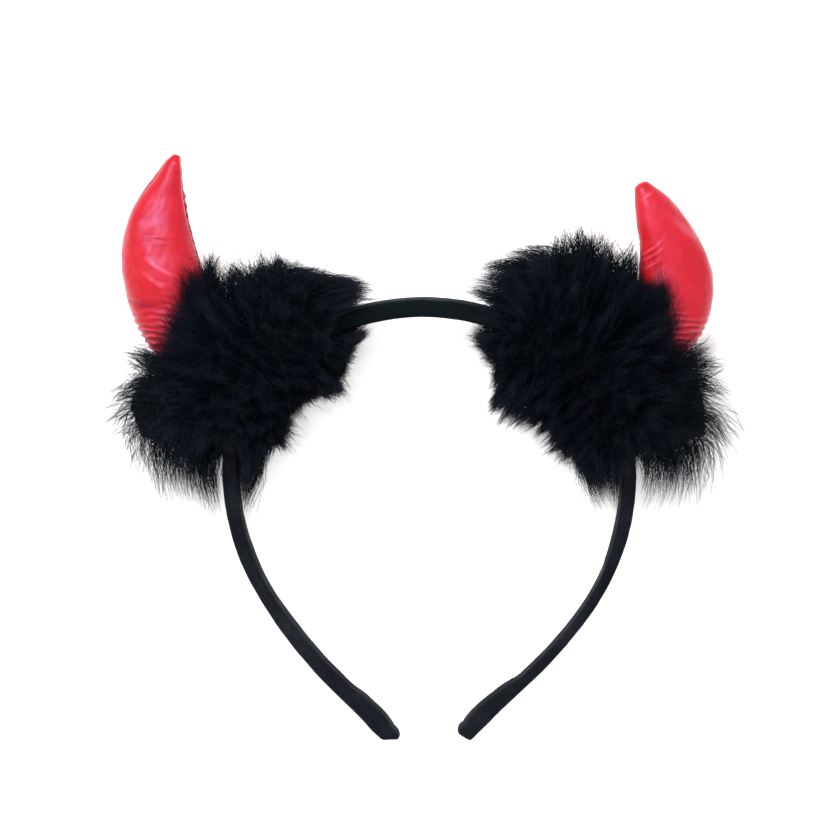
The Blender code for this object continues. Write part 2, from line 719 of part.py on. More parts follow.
def main():
    clear_scene()
    slots = {name: make_material(name, values) for name, values in MATERIALS.items()}
    band = make_band()
    lift = -min(lean_point(vert.co, 0.0) for vert in band.verts)
    reaches_left = {"outward": FUR_LEFT_OUT, "inward": FUR_LEFT_IN, "front": FUR_LEFT_FRONT,
                    "back": FUR_LEFT_BACK}
    reaches_right = {"outward": FUR_RIGHT_OUT, "inward": FUR_RIGHT_IN, "front": FUR_RIGHT_FRONT,
                     "back": FUR_RIGHT_BACK}
    fur_left = Fur(HORN_OF_LEFT, FUR_LEFT, FUR_LEFT_BEFORE, FUR_LEFT_AFTER, reaches_left, lift, 19)
    fur_right = Fur(HORN_OF_RIGHT, FUR_RIGHT, FUR_RIGHT_BEFORE, FUR_RIGHT_AFTER, reaches_right,
                    lift, 37)
    meshes = [
        ("band", band, "band_satin"),
        ("horn_left", make_horn(HORN_OF_LEFT), "horn_satin"),
        ("horn_right", make_horn(HORN_OF_RIGHT), "horn_satin_right"),
        ("fur_left", make_fur(fur_left), "fur"),
        ("fur_right", make_fur(fur_right), "fur_right"),
    ]
    for name, mesh, slot in meshes:
        lean_over(mesh)
    points = [vert.co for name, mesh, slot in meshes for vert in mesh.verts]
    shift = Vector((-(min(p.x for p in points) + max(p.x for p in points)) / 2.0,
                    -(min(p.y for p in points) + max(p.y for p in points)) / 2.0,
                    -min(p.z for p in points)))
    for name, mesh, slot in meshes:
        for vert in mesh.verts:
            vert.co = vert.co + shift
        finish_mesh(name, mesh, slots[slot])


main()
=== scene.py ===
"""Devil horns headband: satin cover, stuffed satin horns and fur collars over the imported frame.

Lengths are millimetres in the plane of the band until placed() leans them into the frame.
"""
import math

import bpy
import numpy as np
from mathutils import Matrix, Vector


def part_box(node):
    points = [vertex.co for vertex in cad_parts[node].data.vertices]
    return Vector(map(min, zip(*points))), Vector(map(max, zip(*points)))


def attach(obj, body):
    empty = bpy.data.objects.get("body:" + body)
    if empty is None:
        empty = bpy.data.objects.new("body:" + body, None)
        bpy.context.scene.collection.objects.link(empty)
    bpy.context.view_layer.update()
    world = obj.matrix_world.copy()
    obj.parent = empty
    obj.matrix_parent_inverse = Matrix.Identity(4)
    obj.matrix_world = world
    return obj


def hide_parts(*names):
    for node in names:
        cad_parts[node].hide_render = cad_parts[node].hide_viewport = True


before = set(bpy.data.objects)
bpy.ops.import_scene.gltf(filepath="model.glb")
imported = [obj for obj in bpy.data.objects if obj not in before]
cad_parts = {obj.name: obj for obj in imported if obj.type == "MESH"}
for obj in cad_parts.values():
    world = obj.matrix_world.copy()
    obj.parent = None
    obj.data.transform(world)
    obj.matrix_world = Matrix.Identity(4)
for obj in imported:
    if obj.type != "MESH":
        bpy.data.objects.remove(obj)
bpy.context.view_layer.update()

LEAN = math.radians(8.0)

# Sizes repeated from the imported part
HALF_SPAN = 64.0
BAND_THICK = 5.2
BAND_WIDE = 12.0
BAND_CORNER = 1.5
SEAT_GAP = 0.25
HORN_FOOT_BLEND = 0.15

LEFT_ARCS = [(1.10, 34.5), (0.76, 55.0), (1.23, 33.0), (2.60, 14.6), (0.97, -15.4)]
RIGHT_ARCS = [(1.17, 38.0), (0.80, 55.5), (1.17, 31.4), (2.23, 13.6), (3.90, -5.3)]

SECTION_COLUMNS = ("at", "thick", "wide", "fold")
LEFT_SECTION = [
    (0.00, 1.00, 1.00, 0.00),
    (0.23, 1.02, 1.00, 0.00),
    (0.43, 0.98, 0.94, 0.00),
    (0.53, 0.92, 0.87, 0.00),
    (0.64, 0.92, 0.80, 0.00),
    (0.81, 1.04, 0.73, 0.00),
    (0.89, 1.08, 0.71, 0.02),
    (0.93, 1.08, 0.71, 0.16),
    (0.96, 1.06, 0.71, 0.24),
    (1.00, 1.04, 0.70, 0.12),
]
RIGHT_SECTION = [
    (0.00, 1.00, 1.00, 0.00),
    (0.23, 1.02, 1.00, 0.00),
    (0.43, 0.98, 0.94, 0.00),
    (0.53, 0.88, 0.87, 0.00),
    (0.64, 0.77, 0.80, 0.00),
    (0.78, 0.74, 0.73, 0.00),
    (0.86, 0.80, 0.71, 0.00),
    (0.91, 0.88, 0.71, 0.20),
    (0.95, 0.92, 0.71, 0.28),
    (1.00, 0.92, 0.70, 0.14),
]

# Rows from foot to tip: out and rise as shares of the length, wide and deep of the widest place
HORN_LEFT = {"seat": 0.306, "length": 76.0, "wide": 25.2, "deep": 21.0, "rows": [
    (0.00, 0.00, 0.63, 0.56),
    (0.05, -0.02, 0.65, 0.59),
    (0.17, -0.03, 0.78, 0.76),
    (0.31, -0.02, 0.90, 0.91),
    (0.43, 0.04, 0.98, 0.99),
    (0.53, 0.12, 1.00, 1.00),
    (0.61, 0.20, 0.95, 0.95),
    (0.675, 0.29, 0.82, 0.84),
    (0.715, 0.38, 0.62, 0.65),
    (0.745, 0.46, 0.42, 0.46),
    (0.77, 0.53, 0.25, 0.28),
    (0.78, 0.57, 0.12, 0.13),
]}
HORN_RIGHT = {"seat": 0.311, "length": 65.0, "wide": 24.2, "deep": 20.4, "rows": [
    (0.00, 0.00, 0.64, 0.57),
    (0.08, -0.02, 0.66, 0.61),
    (0.22, -0.03, 0.79, 0.78),
    (0.37, -0.01, 0.93, 0.92),
    (0.49, 0.05, 1.00, 1.00),
    (0.572, 0.13, 0.97, 0.98),
    (0.636, 0.24, 0.88, 0.88),
    (0.675, 0.34, 0.73, 0.74),
    (0.703, 0.45, 0.57, 0.59),
    (0.720, 0.53, 0.41, 0.44),
    (0.733, 0.60, 0.22, 0.25),
]}

FUR_COLUMNS = ("at", "outward", "inward", "front", "back")

# Front and back of both collars, one pair for each of their rows
FUR_FACES = [(0.40, 0.50), (0.58, 0.70), (0.75, 0.90), (0.88, 1.00), (0.96, 1.00), (1.00, 1.00),
             (0.96, 1.00), (0.83, 0.95), (0.67, 0.85), (0.38, 0.65)]

# before and after are lengths of band on either side of the horn's seat, and rows runs along them.
# Strands may lie over the face of the band from band_from to band_to, measured from the crown.
FUR_LEFT = {
    "before": 32.5, "after": 23.5, "outward": 40.0, "inward": 18.5, "front": 24.0, "back": 20.0,
    "band_from": 29.0, "band_to": 80.0, "seed": 5, "wisps_over_horn": 0.006,
    "rows": [
        (-0.28, 0.20, 0.18),
        (-0.12, 0.26, 0.26),
        (0.02, 0.50, 0.64),
        (0.18, 0.78, 1.14),
        (0.38, 0.93, 0.92),
        (0.59, 0.96, 0.80),
        (0.77, 1.06, 0.87),
        (0.93, 1.16, 0.91),
        (1.09, 1.13, 0.50),
        (1.27, 0.74, 0.08),
    ],
    # How far up the horn the fur covers it, from its convex side (-1) to its concave side (1)
    "cover": [(-1.0, 0.29), (-0.65, 0.295), (-0.2, 0.345), (0.2, 0.39), (0.35, 0.43), (0.5, 0.49),
              (0.85, 0.49), (1.0, 0.54)],
}
FUR_RIGHT = {
    "before": 35.5, "after": 24.5, "outward": 40.0, "inward": 27.5, "front": 24.0, "back": 20.0,
    "band_from": 18.0, "band_to": 91.0, "seed": 11, "wisps_over_horn": 0.050,
    "rows": [
        (-0.28, 0.20, 0.16),
        (-0.13, 0.41, 0.30),
        (0.00, 0.64, 0.50),
        (0.17, 0.96, 0.97),
        (0.33, 1.01, 1.07),
        (0.57, 1.06, 0.86),
        (0.73, 0.93, 0.81),
        (0.88, 0.93, 0.84),
        (1.07, 1.08, 0.76),
        (1.25, 0.90, 0.38),
    ],
    "cover": [(-1.0, 0.33), (-0.7, 0.32), (-0.3, 0.31), (0.1, 0.40), (0.25, 0.51), (0.5, 0.545),
              (0.85, 0.56), (1.0, 0.61)],
}
FUR_CORE = {"outward": 0.79, "inward": 0.68, "front": 0.69, "back": 0.66}
FUR_CORE_ENDS = [0.80, 0.95]
FUR_STATIONS = 10
FUR_AROUND = 16
FUR_CHANNEL_GAP = 0.45
FUR_CHANNEL_CORNER = 1.0
FUR_HORN_GAP = 1.2
FUR_TUNNEL_SHARES = [0.06, 0.11, 0.17, 0.23]
FUR_PATCH_STATIONS = 3
FUR_PATCH_AROUND = 2
FUR_FOOT_SQUARENESS = 4.0

# Strands of the collars; a strand leans along the band near the ends of its collar
CLUMPS = 820
STRANDS = 47000
WISP_SHARE = 9
LAPPING = 8000
PIECES_A_SIDE = 4
STRAND_WIDE = 0.20
STRAND_STEPS = np.array([0.0, 0.30, 0.58, 0.82, 1.0])
STRAND_TAPER = np.array([1.0, 0.95, 0.72, 0.42])
STRAND_HIGHEST = 24.0
LEAN_FROM = 0.55
LEAN_OVER = 0.45
LEG_LEAN = 19.5
CROWN_LEAN = 9.0
CROWN_LEAN_OUTWARD = 4.0
WISP_BEYOND = 7.0
HORN_CLEARANCE = 0.75
BAND_CLEARANCE = 0.45
FLOOR_CLEARANCE = 0.45


def unit(vectors):
    return vectors / np.maximum(np.linalg.norm(vectors, axis=-1, keepdims=True), 1e-9)


def smooth_step(part):
    return part * part * (3.0 - 2.0 * part)


def eased(rows, columns, key, at):
    """One column of a table read with eased steps between its rows."""
    table = np.array(rows, float)
    places = table[:, 0]
    values = table[:, columns.index(key)]
    at = np.clip(at, places[0], places[-1])
    high = np.clip(np.searchsorted(places, at, side="right"), 1, len(places) - 1)
    part = (at - places[high - 1]) / (places[high] - places[high - 1])
    return values[high - 1] + (values[high] - values[high - 1]) * smooth_step(part)


def spline(rows, share):
    """Catmull-Rom reading of evenly spaced rows, one row of values for each share."""
    table = np.array(rows, float)
    last = len(table) - 1
    padded_rows = np.vstack([2.0 * table[0] - table[1], table, 2.0 * table[-1] - table[-2]])
    place = np.clip(share, 0.0, 1.0) * last
    index = np.minimum(place.astype(int), last - 1)
    part = (place - index)[:, None]
    before = padded_rows[index]
    here = padded_rows[index + 1]
    there = padded_rows[index + 2]
    after = padded_rows[index + 3]
    return 0.5 * (2.0 * here + (there - before) * part
                  + (2.0 * before - 5.0 * here + 4.0 * there - after) * part ** 2
                  + (3.0 * here - before - 3.0 * there + after) * part ** 3)


def ripple(points, wavelength, seed, waves=7):
    """Smooth seeded noise between about -1 and 1, a sum of sine waves in many directions."""
    rng = np.random.default_rng(seed)
    total = np.zeros(points.shape[:-1])
    for wave in range(waves):
        direction = rng.normal(size=3)
        direction *= 2.0 * math.pi / wavelength / np.linalg.norm(direction) * rng.uniform(0.7, 1.4)
        total += np.sin(points @ direction + rng.uniform(0.0, 6.28))
    return total / math.sqrt(waves)


def nearest(spaces, count):
    """Smallest of the spaces to sample after sample, and the number of that sample, for each point."""
    distance = np.full(count, 1e9)
    index = np.zeros(count, int)
    for number, space in enumerate(spaces):
        closer = space < distance
        distance[closer] = space[closer]
        index[closer] = number
    return distance, index


class Leg:
    """One half of the band's centre line, read from samples a quarter of a millimetre apart."""

    def __init__(self, side, arcs, section):
        self.side = side
        self.section = section
        self.length = sum(radius * HALF_SPAN * abs(math.radians(turn)) for radius, turn in arcs)
        steps = np.arange(0.0, self.length + 0.5, 0.25)
        rows = []
        for along in steps:
            across = 0.0
            up = 0.0
            heading = 0.0
            left = along
            for index, (share, turn) in enumerate(arcs):
                radius = share * HALF_SPAN
                signed = math.copysign(radius, turn)
                used = min(left, radius * abs(math.radians(turn)))
                if index == len(arcs) - 1:
                    used = left
                turned = heading + used / signed
                across += signed * (math.sin(turned) - math.sin(heading))
                up -= signed * (math.cos(heading) - math.cos(turned))
                heading = turned
                left -= used
                if left <= 0.0:
                    break
            rows.append((side * across, up, side * math.sin(heading), math.cos(heading)))
        self.steps = steps
        self.rows = np.array(rows)

    def at(self, along):
        """Centre, direction towards the tip and outward normal, each with a zero deep part."""
        along = np.asarray(along, float)
        read = [np.interp(along, self.steps, self.rows[:, column]) for column in range(4)]
        nothing = np.zeros(along.shape)
        centre = np.stack([read[0], read[1], nothing], -1)
        outward = unit(np.stack([read[2], read[3], nothing], -1))
        ahead = np.stack([self.side * outward[..., 1], -self.side * outward[..., 0], nothing], -1)
        return centre, ahead, outward

    def size(self, key, along):
        full = BAND_WIDE if key == "wide" else BAND_THICK
        return eased(self.section, SECTION_COLUMNS, key, np.asarray(along) / self.length) * full


class Horn:
    """A stuffed horn on the outer face of one leg; angle 0 is its concave side."""

    def __init__(self, leg, sizes):
        self.leg = leg
        self.rows = sizes["rows"]
        self.reach = sizes["length"]
        self.wide = sizes["wide"]
        self.deep = sizes["deep"]
        self.seat = sizes["seat"] * leg.length
        centre, ahead, outward = leg.at(self.seat)
        self.foot = centre + outward * (leg.size("thick", self.seat) / 2.0 + SEAT_GAP)
        self.outward = outward
        self.rise = -ahead
        fine = self.spine(np.linspace(0.0, 1.0, 61))
        self.length = float(np.linalg.norm(np.diff(fine, axis=0), axis=1).sum())

    def spine(self, share):
        row = spline(self.rows, np.asarray(share, float))
        return self.foot + (row[:, :1] * self.outward + row[:, 1:2] * self.rise) * self.reach

    def frames(self, share):
        low = self.spine(np.maximum(share - 0.004, 0.0))
        ahead = unit(self.spine(np.minimum(share + 0.004, 1.0)) - low)
        normal = np.stack([ahead[:, 1], -ahead[:, 0], np.zeros(len(share))], -1) * -self.leg.side
        row = spline(self.rows, share)
        return self.spine(share), ahead, normal, row[:, 2] * self.wide / 2.0, row[:, 3] * self.deep / 2.0

    def foot_edge(self, angle, grow, lift, power):
        """Points laid on the curve of the band's outer face; power squares the corners."""
        sizes = spline(self.rows, np.zeros(1))[0]
        half_wide = sizes[2] * self.wide / 2.0
        half_deep = sizes[3] * self.deep / 2.0
        square = np.abs(np.cos(angle)) ** power + np.abs(np.sin(angle)) ** power
        reach = square ** (-1.0 / power)
        along = self.seat - np.cos(angle) * (half_wide + grow) * reach
        centre, ahead, outward = self.leg.at(along)
        out = self.leg.size("thick", along) / 2.0 + SEAT_GAP + lift
        points = centre + outward * np.asarray(out)[..., None]
        points[..., 2] += np.sin(angle) * (half_deep + grow) * reach
        return points

    def skin(self, share, angle, grow):
        """The plain skin; share and angle are matching arrays of one shape."""
        flat_share = share.ravel()
        flat_angle = angle.ravel()
        spine, ahead, normal, half_wide, half_deep = self.frames(flat_share)
        grow = np.broadcast_to(grow, share.shape).ravel()
        points = spine + normal * (np.cos(flat_angle) * (half_wide + grow))[:, None]
        points[:, 2] += np.sin(flat_angle) * (half_deep + grow)
        low = flat_share < HORN_FOOT_BLEND
        if low.any():
            blend = smooth_step(flat_share[low] / HORN_FOOT_BLEND)[:, None]
            rise = self.foot_edge(flat_angle[low], grow[low], flat_share[low] * self.length, 2.0)
            points[low] = rise * (1.0 - blend) + points[low] * blend
        return points.reshape(share.shape + (3,))

    def near(self, points):
        """For each point: distance outside the skin, direction away, share and place across."""
        shares = np.linspace(0.0, 1.0, 61)
        spine, ahead, normal, half_wide, half_deep = self.frames(shares)
        spaces = (np.linalg.norm(points - middle, axis=1) for middle in spine)
        distance, index = nearest(spaces, len(points))
        gap = points - spine[index]
        away = gap / np.maximum(distance, 1e-6)[:, None]
        flat = np.hypot(away[:, 0], away[:, 1])
        radius = 1.0 / np.sqrt((flat / half_wide[index]) ** 2 + (away[:, 2] / half_deep[index]) ** 2)
        across = (gap * normal[index]).sum(axis=1) / half_wide[index]
        return distance - radius, away, shares[index], across


LEFT_LEG = Leg(-1.0, LEFT_ARCS, LEFT_SECTION)
RIGHT_LEG = Leg(1.0, RIGHT_ARCS, RIGHT_SECTION)
LEFT_HORN = Horn(LEFT_LEG, HORN_LEFT)
RIGHT_HORN = Horn(RIGHT_LEG, HORN_RIGHT)


def leaned(points):
    across, up, deep = points[..., 0], points[..., 1], points[..., 2]
    return np.stack([across, up * math.cos(LEAN) - deep * math.sin(LEAN),
                     up * math.sin(LEAN) + deep * math.cos(LEAN)], -1)


def plain_band():
    """Corner points of the band all along both legs, which fix its place in the frame."""
    points = []
    for leg in (LEFT_LEG, RIGHT_LEG):
        along = np.linspace(0.0, leg.length - 3.0, 400)
        centre, ahead, outward = leg.at(along)
        out = leg.size("thick", along)[:, None] / 2.0
        deep = leg.size("wide", along) / 2.0
        for side, face in ((1.0, 1.0), (1.0, -1.0), (-1.0, 1.0), (-1.0, -1.0)):
            flat = centre + outward * out * side
            flat[:, 2] = (deep - BAND_CORNER) * face
            points.append(flat)
    return leaned(np.concatenate(points))


def find_shift():
    low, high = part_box("band")
    own = plain_band()
    return np.array([
        (low.x + high.x) * 500.0 - (own[:, 0].min() + own[:, 0].max()) / 2.0,
        high.y * 1000.0 - own[:, 1].max(),
        0.0,
    ])


SHIFT = find_shift()


def tip_height():
    """Height that puts the lowest point of the band's tips on the floor, as in the frame."""
    lowest = 1e9
    for leg in (LEFT_LEG, RIGHT_LEG):
        along = np.linspace(leg.length - 3.2, leg.length - 1.0, 12)
        centre, ahead, outward = leg.at(along)
        corner = centre - outward * (leg.size("thick", along)[:, None] / 2.0 - BAND_CORNER)
        corner[:, 2] = -leg.size("wide", along) / 2.0
        lowest = min(lowest, leaned(corner)[:, 2].min())
    return -lowest


SHIFT[2] = tip_height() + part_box("band")[0].z * 1000.0


def placed(points):
    """Plane millimetres to metres in the frame."""
    return (leaned(np.asarray(points, float)) + SHIFT) * 0.001


def add_object(name, data):
    item = bpy.data.objects.new(name, data)
    bpy.context.scene.collection.objects.link(item)
    return item


def new_piece(name, points, faces, smooth=True, attributes=None):
    """A mesh object from points in the plane; faces is one array or one for each number of corners."""
    mesh = bpy.data.meshes.new(name)
    places = placed(points).astype(np.float32)
    mesh.vertices.add(len(places))
    mesh.vertices.foreach_set("co", places.ravel())
    groups = faces if isinstance(faces, list) else [faces]
    corners = np.concatenate([group.ravel() for group in groups]).astype(np.int32)
    counts = np.concatenate([np.full(len(group), group.shape[1]) for group in groups])
    starts = np.concatenate([[0], np.cumsum(counts)[:-1]]).astype(np.int32)
    mesh.loops.add(len(corners))
    mesh.loops.foreach_set("vertex_index", corners)
    mesh.polygons.add(len(counts))
    mesh.polygons.foreach_set("loop_start", starts)
    mesh.polygons.foreach_set("use_smooth", np.full(len(counts), smooth))
    mesh.update(calc_edges=True)
    mesh.validate()
    for key, values in (attributes or {}).items():
        layer = mesh.attributes.new(key, "FLOAT", "POINT")
        layer.data.foreach_set("value", np.asarray(values, np.float32).ravel())
    item = add_object(name, mesh)
    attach(item, "root")
    return item


def tube_faces(rings, around, flip=False):
    """Quads between rings of points laid out one ring after another."""
    ring = np.arange(rings - 1)[:, None] * around
    side = np.arange(around)[None, :]
    after = (side + 1) % around
    quads = np.stack([ring + side, ring + after, ring + around + after, ring + around + side], -1)
    quads = quads.reshape(-1, 4)
    return quads[:, ::-1] if flip else quads


def closed_tube(rings, flip=False):
    """Points and faces of a tube whose two ends close on the middle of their rings."""
    count, around = rings.shape[:2]
    points = np.concatenate([rings.reshape(-1, 3), rings[0].mean(0)[None], rings[-1].mean(0)[None]])
    side = np.arange(around)
    after = (side + 1) % around
    first = np.stack([np.full(around, count * around), after, side], -1)
    start = (count - 1) * around
    last = np.stack([np.full(around, count * around + 1), start + side, start + after], -1)
    caps = np.concatenate([first, last])
    if flip:
        caps = caps[:, ::-1]
    return points, [tube_faces(count, around, flip), caps]


# Band cover

CROWN_HALF = 42.0
CROWN_THICKER = 0.26
LOWER_LEG_FROM = 0.62


def rounded_box(half_out, half_in, half_wide, corner):
    """Section of the band as (out, deep) rows: four rounded corners with points between them."""
    middles = [(half_out - corner, half_wide - corner), (-half_in + corner, half_wide - corner),
               (-half_in + corner, -half_wide + corner), (half_out - corner, -half_wide + corner)]
    rows = []
    for number, (out, deep) in enumerate(middles):
        start = number * 90.0
        for turn in np.radians(np.linspace(start, start + 90.0, 6)):
            rows.append((out + corner * math.cos(turn), deep + corner * math.sin(turn)))
        after = middles[(number + 1) % 4]
        turn = math.radians(start + 90.0)
        steps = 3 if number % 2 == 0 else 7
        for step in range(1, steps):
            share = step / steps
            rows.append((out + (after[0] - out) * share + corner * math.cos(turn),
                         deep + (after[1] - deep) * share + corner * math.sin(turn)))
    return np.array(rows)


def leg_rings(leg, lip, sideways, slant, thinner):
    """Rings of the cover from the crown to the tip.

    lip is the height of a rolled end on the inner side, sideways moves the end inwards and slant
    is how far its inner corner runs ahead of its outer one. thinner is taken off the outer and
    the inner face of the lower leg.
    """
    body = np.arange(0.6, leg.length - 2.4, 0.9)
    ends = leg.length - np.array([2.0, 1.5, 1.0, 0.6, 0.3, 0.12, 0.03])
    shrink = [1.0, 1.0, 0.985, 0.95, 0.87, 0.76, 0.60]
    along = np.concatenate([body, ends])
    shrinks = np.concatenate([np.ones(len(body)), shrink])
    centre, ahead, outward = leg.at(along)
    rings = []
    for number, here in enumerate(along):
        crown = math.exp(-(here / CROWN_HALF) ** 4)
        low = 1.0 / (1.0 + math.exp((LOWER_LEG_FROM * leg.length - here) / 6.0))
        half_out = leg.size("thick", here) / 2.0 + CROWN_THICKER * crown
        half_in = half_out + leg.size("fold", here) - thinner[1] * low
        half_out -= thinner[0] * low
        half_wide = leg.size("wide", here) / 2.0
        section = rounded_box(half_out, half_in, half_wide, min(BAND_CORNER, half_out * 0.62))
        out = section[:, 0]
        deep = section[:, 1]
        domed = 0.20 * np.clip(1.0 - (deep / half_wide) ** 2, 0.0, 1.0) - 0.12
        out = out + np.where(np.abs(out) > half_out * 0.8, np.sign(out) * domed, 0.0)
        end = leg.length - here
        roll = math.exp(-((end - 1.6) / 0.7) ** 2) * lip
        roll -= math.exp(-((end - 3.1) / 0.5) ** 2) * (lip * 0.7)
        grow = np.where(out < 0.0, 1.0 + roll / half_out, 1.0) * shrinks[number]
        seam = np.where(out < -half_out * 0.8, 0.20 / (1.0 + np.exp((deep - 1.2) * 4.0)), 0.0)
        near_end = max(0.0, 1.0 - end / 8.0) ** 1.5
        flat = (out - seam) * grow - sideways * near_end
        ring = centre[number] + outward[number] * flat[:, None]
        ring += ahead[number] * (-out / half_out * slant * 0.5 * near_end)[:, None]
        ring[:, 2] = deep * shrinks[number]
        rings.append(ring)
    return np.array(rings)


def make_band():
    left = leg_rings(LEFT_LEG, lip=0.10, sideways=0.95, slant=2.0, thinner=(0.45, 0.10))
    right = leg_rings(RIGHT_LEG, lip=0.22, sideways=-0.15, slant=0.8, thinner=(-0.10, 0.62))
    rings = np.concatenate([left[::-1], right])
    away = unit(rings - rings.mean(axis=1, keepdims=True))
    soft = ripple(rings, 26.0, 3) * 0.07 + ripple(rings, 9.0, 4) * 0.045 + ripple(rings, 3.4, 8) * 0.028
    rings = rings + away * soft[..., None]
    points, faces = closed_tube(rings)
    # crown is a mask round the top of the band; the satin uses it to paint shade on the crown's outer
    # face.
    crown = np.exp(-(np.hypot(points[:, 0], points[:, 1]) / 38.0) ** 4)
    return new_piece("band_cover", points, faces, attributes={"crown": crown})


# Horns

HORN_STATIONS = 210
HORN_AROUND = 128
SEAM_TURN = {-1.0: 14.0, 1.0: -24.0}
PUCKER_PITCH = 1.9
STITCHES_FROM = 0.50
STITCHES_TO = 0.81
STITCH_PITCH = 3.4
GATHERS_AT = 0.31
GATHERS_SPREAD = 0.085
GATHER_PITCH = 2.05

# Each fold runs from a place and turn to another, then its half width and height
FOLDS_LEFT = [
    (0.594, 46.0, 0.602, 128.0, 0.5, -0.30),
    (0.545, 112.0, 0.482, 78.0, 0.7, 0.20),
    (0.528, 100.0, 0.462, 66.0, 0.6, 0.20),
    (0.505, 118.0, 0.430, 84.0, 0.7, 0.20),
    (0.470, 98.0, 0.432, 60.0, 0.5, -0.20),
    (0.560, 52.0, 0.500, 34.0, 0.7, -0.28),
    (0.425, 168.0, 0.402, 112.0, 0.42, -0.46),
    (0.405, 144.0, 0.387, 76.0, 0.42, -0.42),
    (0.930, 70.0, 0.950, 100.0, 0.9, 0.25),
]
FOLDS_RIGHT = [
    (0.665, 16.0, 0.705, 78.0, 0.42, -0.22),
    (0.648, 16.0, 0.688, 72.0, 0.42, 0.22),
    (0.632, 18.0, 0.668, 74.0, 0.38, -0.22),
    (0.616, 18.0, 0.650, 68.0, 0.42, 0.22),
    (0.598, 20.0, 0.630, 62.0, 0.42, -0.20),
    (0.575, 22.0, 0.610, 64.0, 0.50, 0.20),
    (0.545, 26.0, 0.590, 70.0, 0.60, -0.18),
    (0.760, 124.0, 0.640, 152.0, 2.0, 0.24),
    (0.560, 152.0, 0.480, 160.0, 1.6, 0.22),
    (0.930, 60.0, 0.940, 120.0, 1.0, 0.25),
]

# Soft dents: place, turn, half sizes along and across, depth, and whether it starts with a kink
DENTS_LEFT = [
    (0.604, 98.0, 9.0, 9.0, -1.10, True),
    (0.670, 98.0, 14.0, 8.0, -1.30, False),
    (0.330, 100.0, 6.0, 8.0, -0.55, False),
]
DENTS_RIGHT = [
    (0.640, 62.0, 8.0, 6.0, -0.60, False),
    (0.700, 120.0, 12.0, 7.0, -0.80, False),
    (0.470, 100.0, 11.0, 8.0, -0.80, False),
]


def fold_height(share, angle, half_wide, length, folds):
    """Sum of soft ridges and grooves that run between two places on the unrolled skin."""
    total = np.zeros(share.shape)
    for from_at, from_turn, to_at, to_turn, half_width, height in folds:
        along = share * length - from_at * length
        across = (angle - math.radians(from_turn)) * half_wide
        run = to_at * length - from_at * length
        side = (math.radians(to_turn) - math.radians(from_turn)) * half_wide
        part = np.clip((along * run + across * side) / (run ** 2 + side ** 2), 0.0, 1.0)
        distance = np.hypot(along - run * part, across - side * part)
        taper = 0.35 + 0.65 * np.sin(np.pi * np.clip(part, 0.04, 0.96))
        total += height * taper * np.exp(-(distance / half_width) ** 2)
    return total


def horn_surface(horn, folds, dents, seed):
    """Rings of points of the sewn skin, a mask for the painted highlight beside the seam, and the fold
    height from hollows (0) to ridges (1) for painted shade and highlight.
    """
    shares = np.linspace(0.0, 1.0, HORN_STATIONS)
    turns = np.linspace(0.0, 2.0 * math.pi, HORN_AROUND, endpoint=False)
    share, angle = np.meshgrid(shares, turns, indexing="ij")
    signed = np.where(angle > math.pi, angle - 2.0 * math.pi, angle)
    base = horn.skin(share, angle, 0.0)
    row = spline(horn.rows, shares)
    half_wide = (row[:, 2] * horn.wide / 2.0)[:, None] * np.ones(HORN_AROUND)
    room = np.clip(half_wide / (horn.wide * 0.5), 0.0, 1.0)
    length = horn.length

    height = ripple(base, 24.0, seed) * 0.15 + ripple(base, 9.5, seed + 1) * 0.09
    height += ripple(base, 4.0, seed + 2) * 0.035
    lines = fold_height(share, signed, half_wide, length, folds)

    for at, turn, half_along, half_across, depth, sharp in dents:
        along = (share - at) * length / half_along
        beside = np.abs((signed - math.radians(turn)) * half_wide) / half_across
        if sharp:
            along = np.maximum(along, 0.0)
            dent = along * np.exp(1.0 - along)
        else:
            dent = np.exp(-along ** 4)
        height += depth * dent * np.exp(-beside ** 2.6)

    level = base[..., 1] - horn.leg.side * base[..., 0] * 0.10
    wander = 1.0 * np.sin(base[..., 0] * 0.35 + seed) + 0.8 * np.sin(level * 0.9 + base[..., 0] * 0.8)
    valley = (0.5 + 0.5 * np.cos(2.0 * math.pi * level / GATHER_PITCH + wander)) ** 2.2
    strength = np.exp(-((share - GATHERS_AT) / GATHERS_SPREAD) ** 2)
    strength *= 0.95 + 0.30 * np.sin(base[..., 0] * 0.5 + base[..., 1] * 0.7)
    lines += strength * (0.26 - 0.95 * valley)

    seam_turn = math.radians(SEAM_TURN[horn.leg.side])
    beside = (signed - seam_turn) * half_wide
    pucker = np.sin(2.0 * math.pi * share * length / PUCKER_PITCH + 0.6 * np.sin(share * 40.0))
    height += lines + 0.12 * pucker * np.exp(-np.abs(beside) / 1.8) * room
    height -= 0.34 * np.exp(-(beside / 0.28) ** 2) * room
    height += 0.26 * np.exp(-((beside - 0.75) / 0.42) ** 2) * room
    height += 0.20 * np.exp(-((beside + 0.75) / 0.5) ** 2) * room
    # Painted highlight: edge marks a pale strip just beside the seam, where the satin would catch light.
    edge = np.exp(-((beside - 0.62) / 0.30) ** 2) * np.clip((share - 0.45) * 9.0, 0.0, 1.0)

    foot_fade = np.clip(share / 0.06, 0.0, 1.0)
    height *= foot_fade * np.clip(0.25 + room, 0.0, 1.0)
    points = horn.skin(share, angle, height * np.clip((1.0 - share) / 0.06, 0.1, 1.0))
    return points, edge, np.clip(0.5 + 0.62 * lines, 0.0, 1.0)


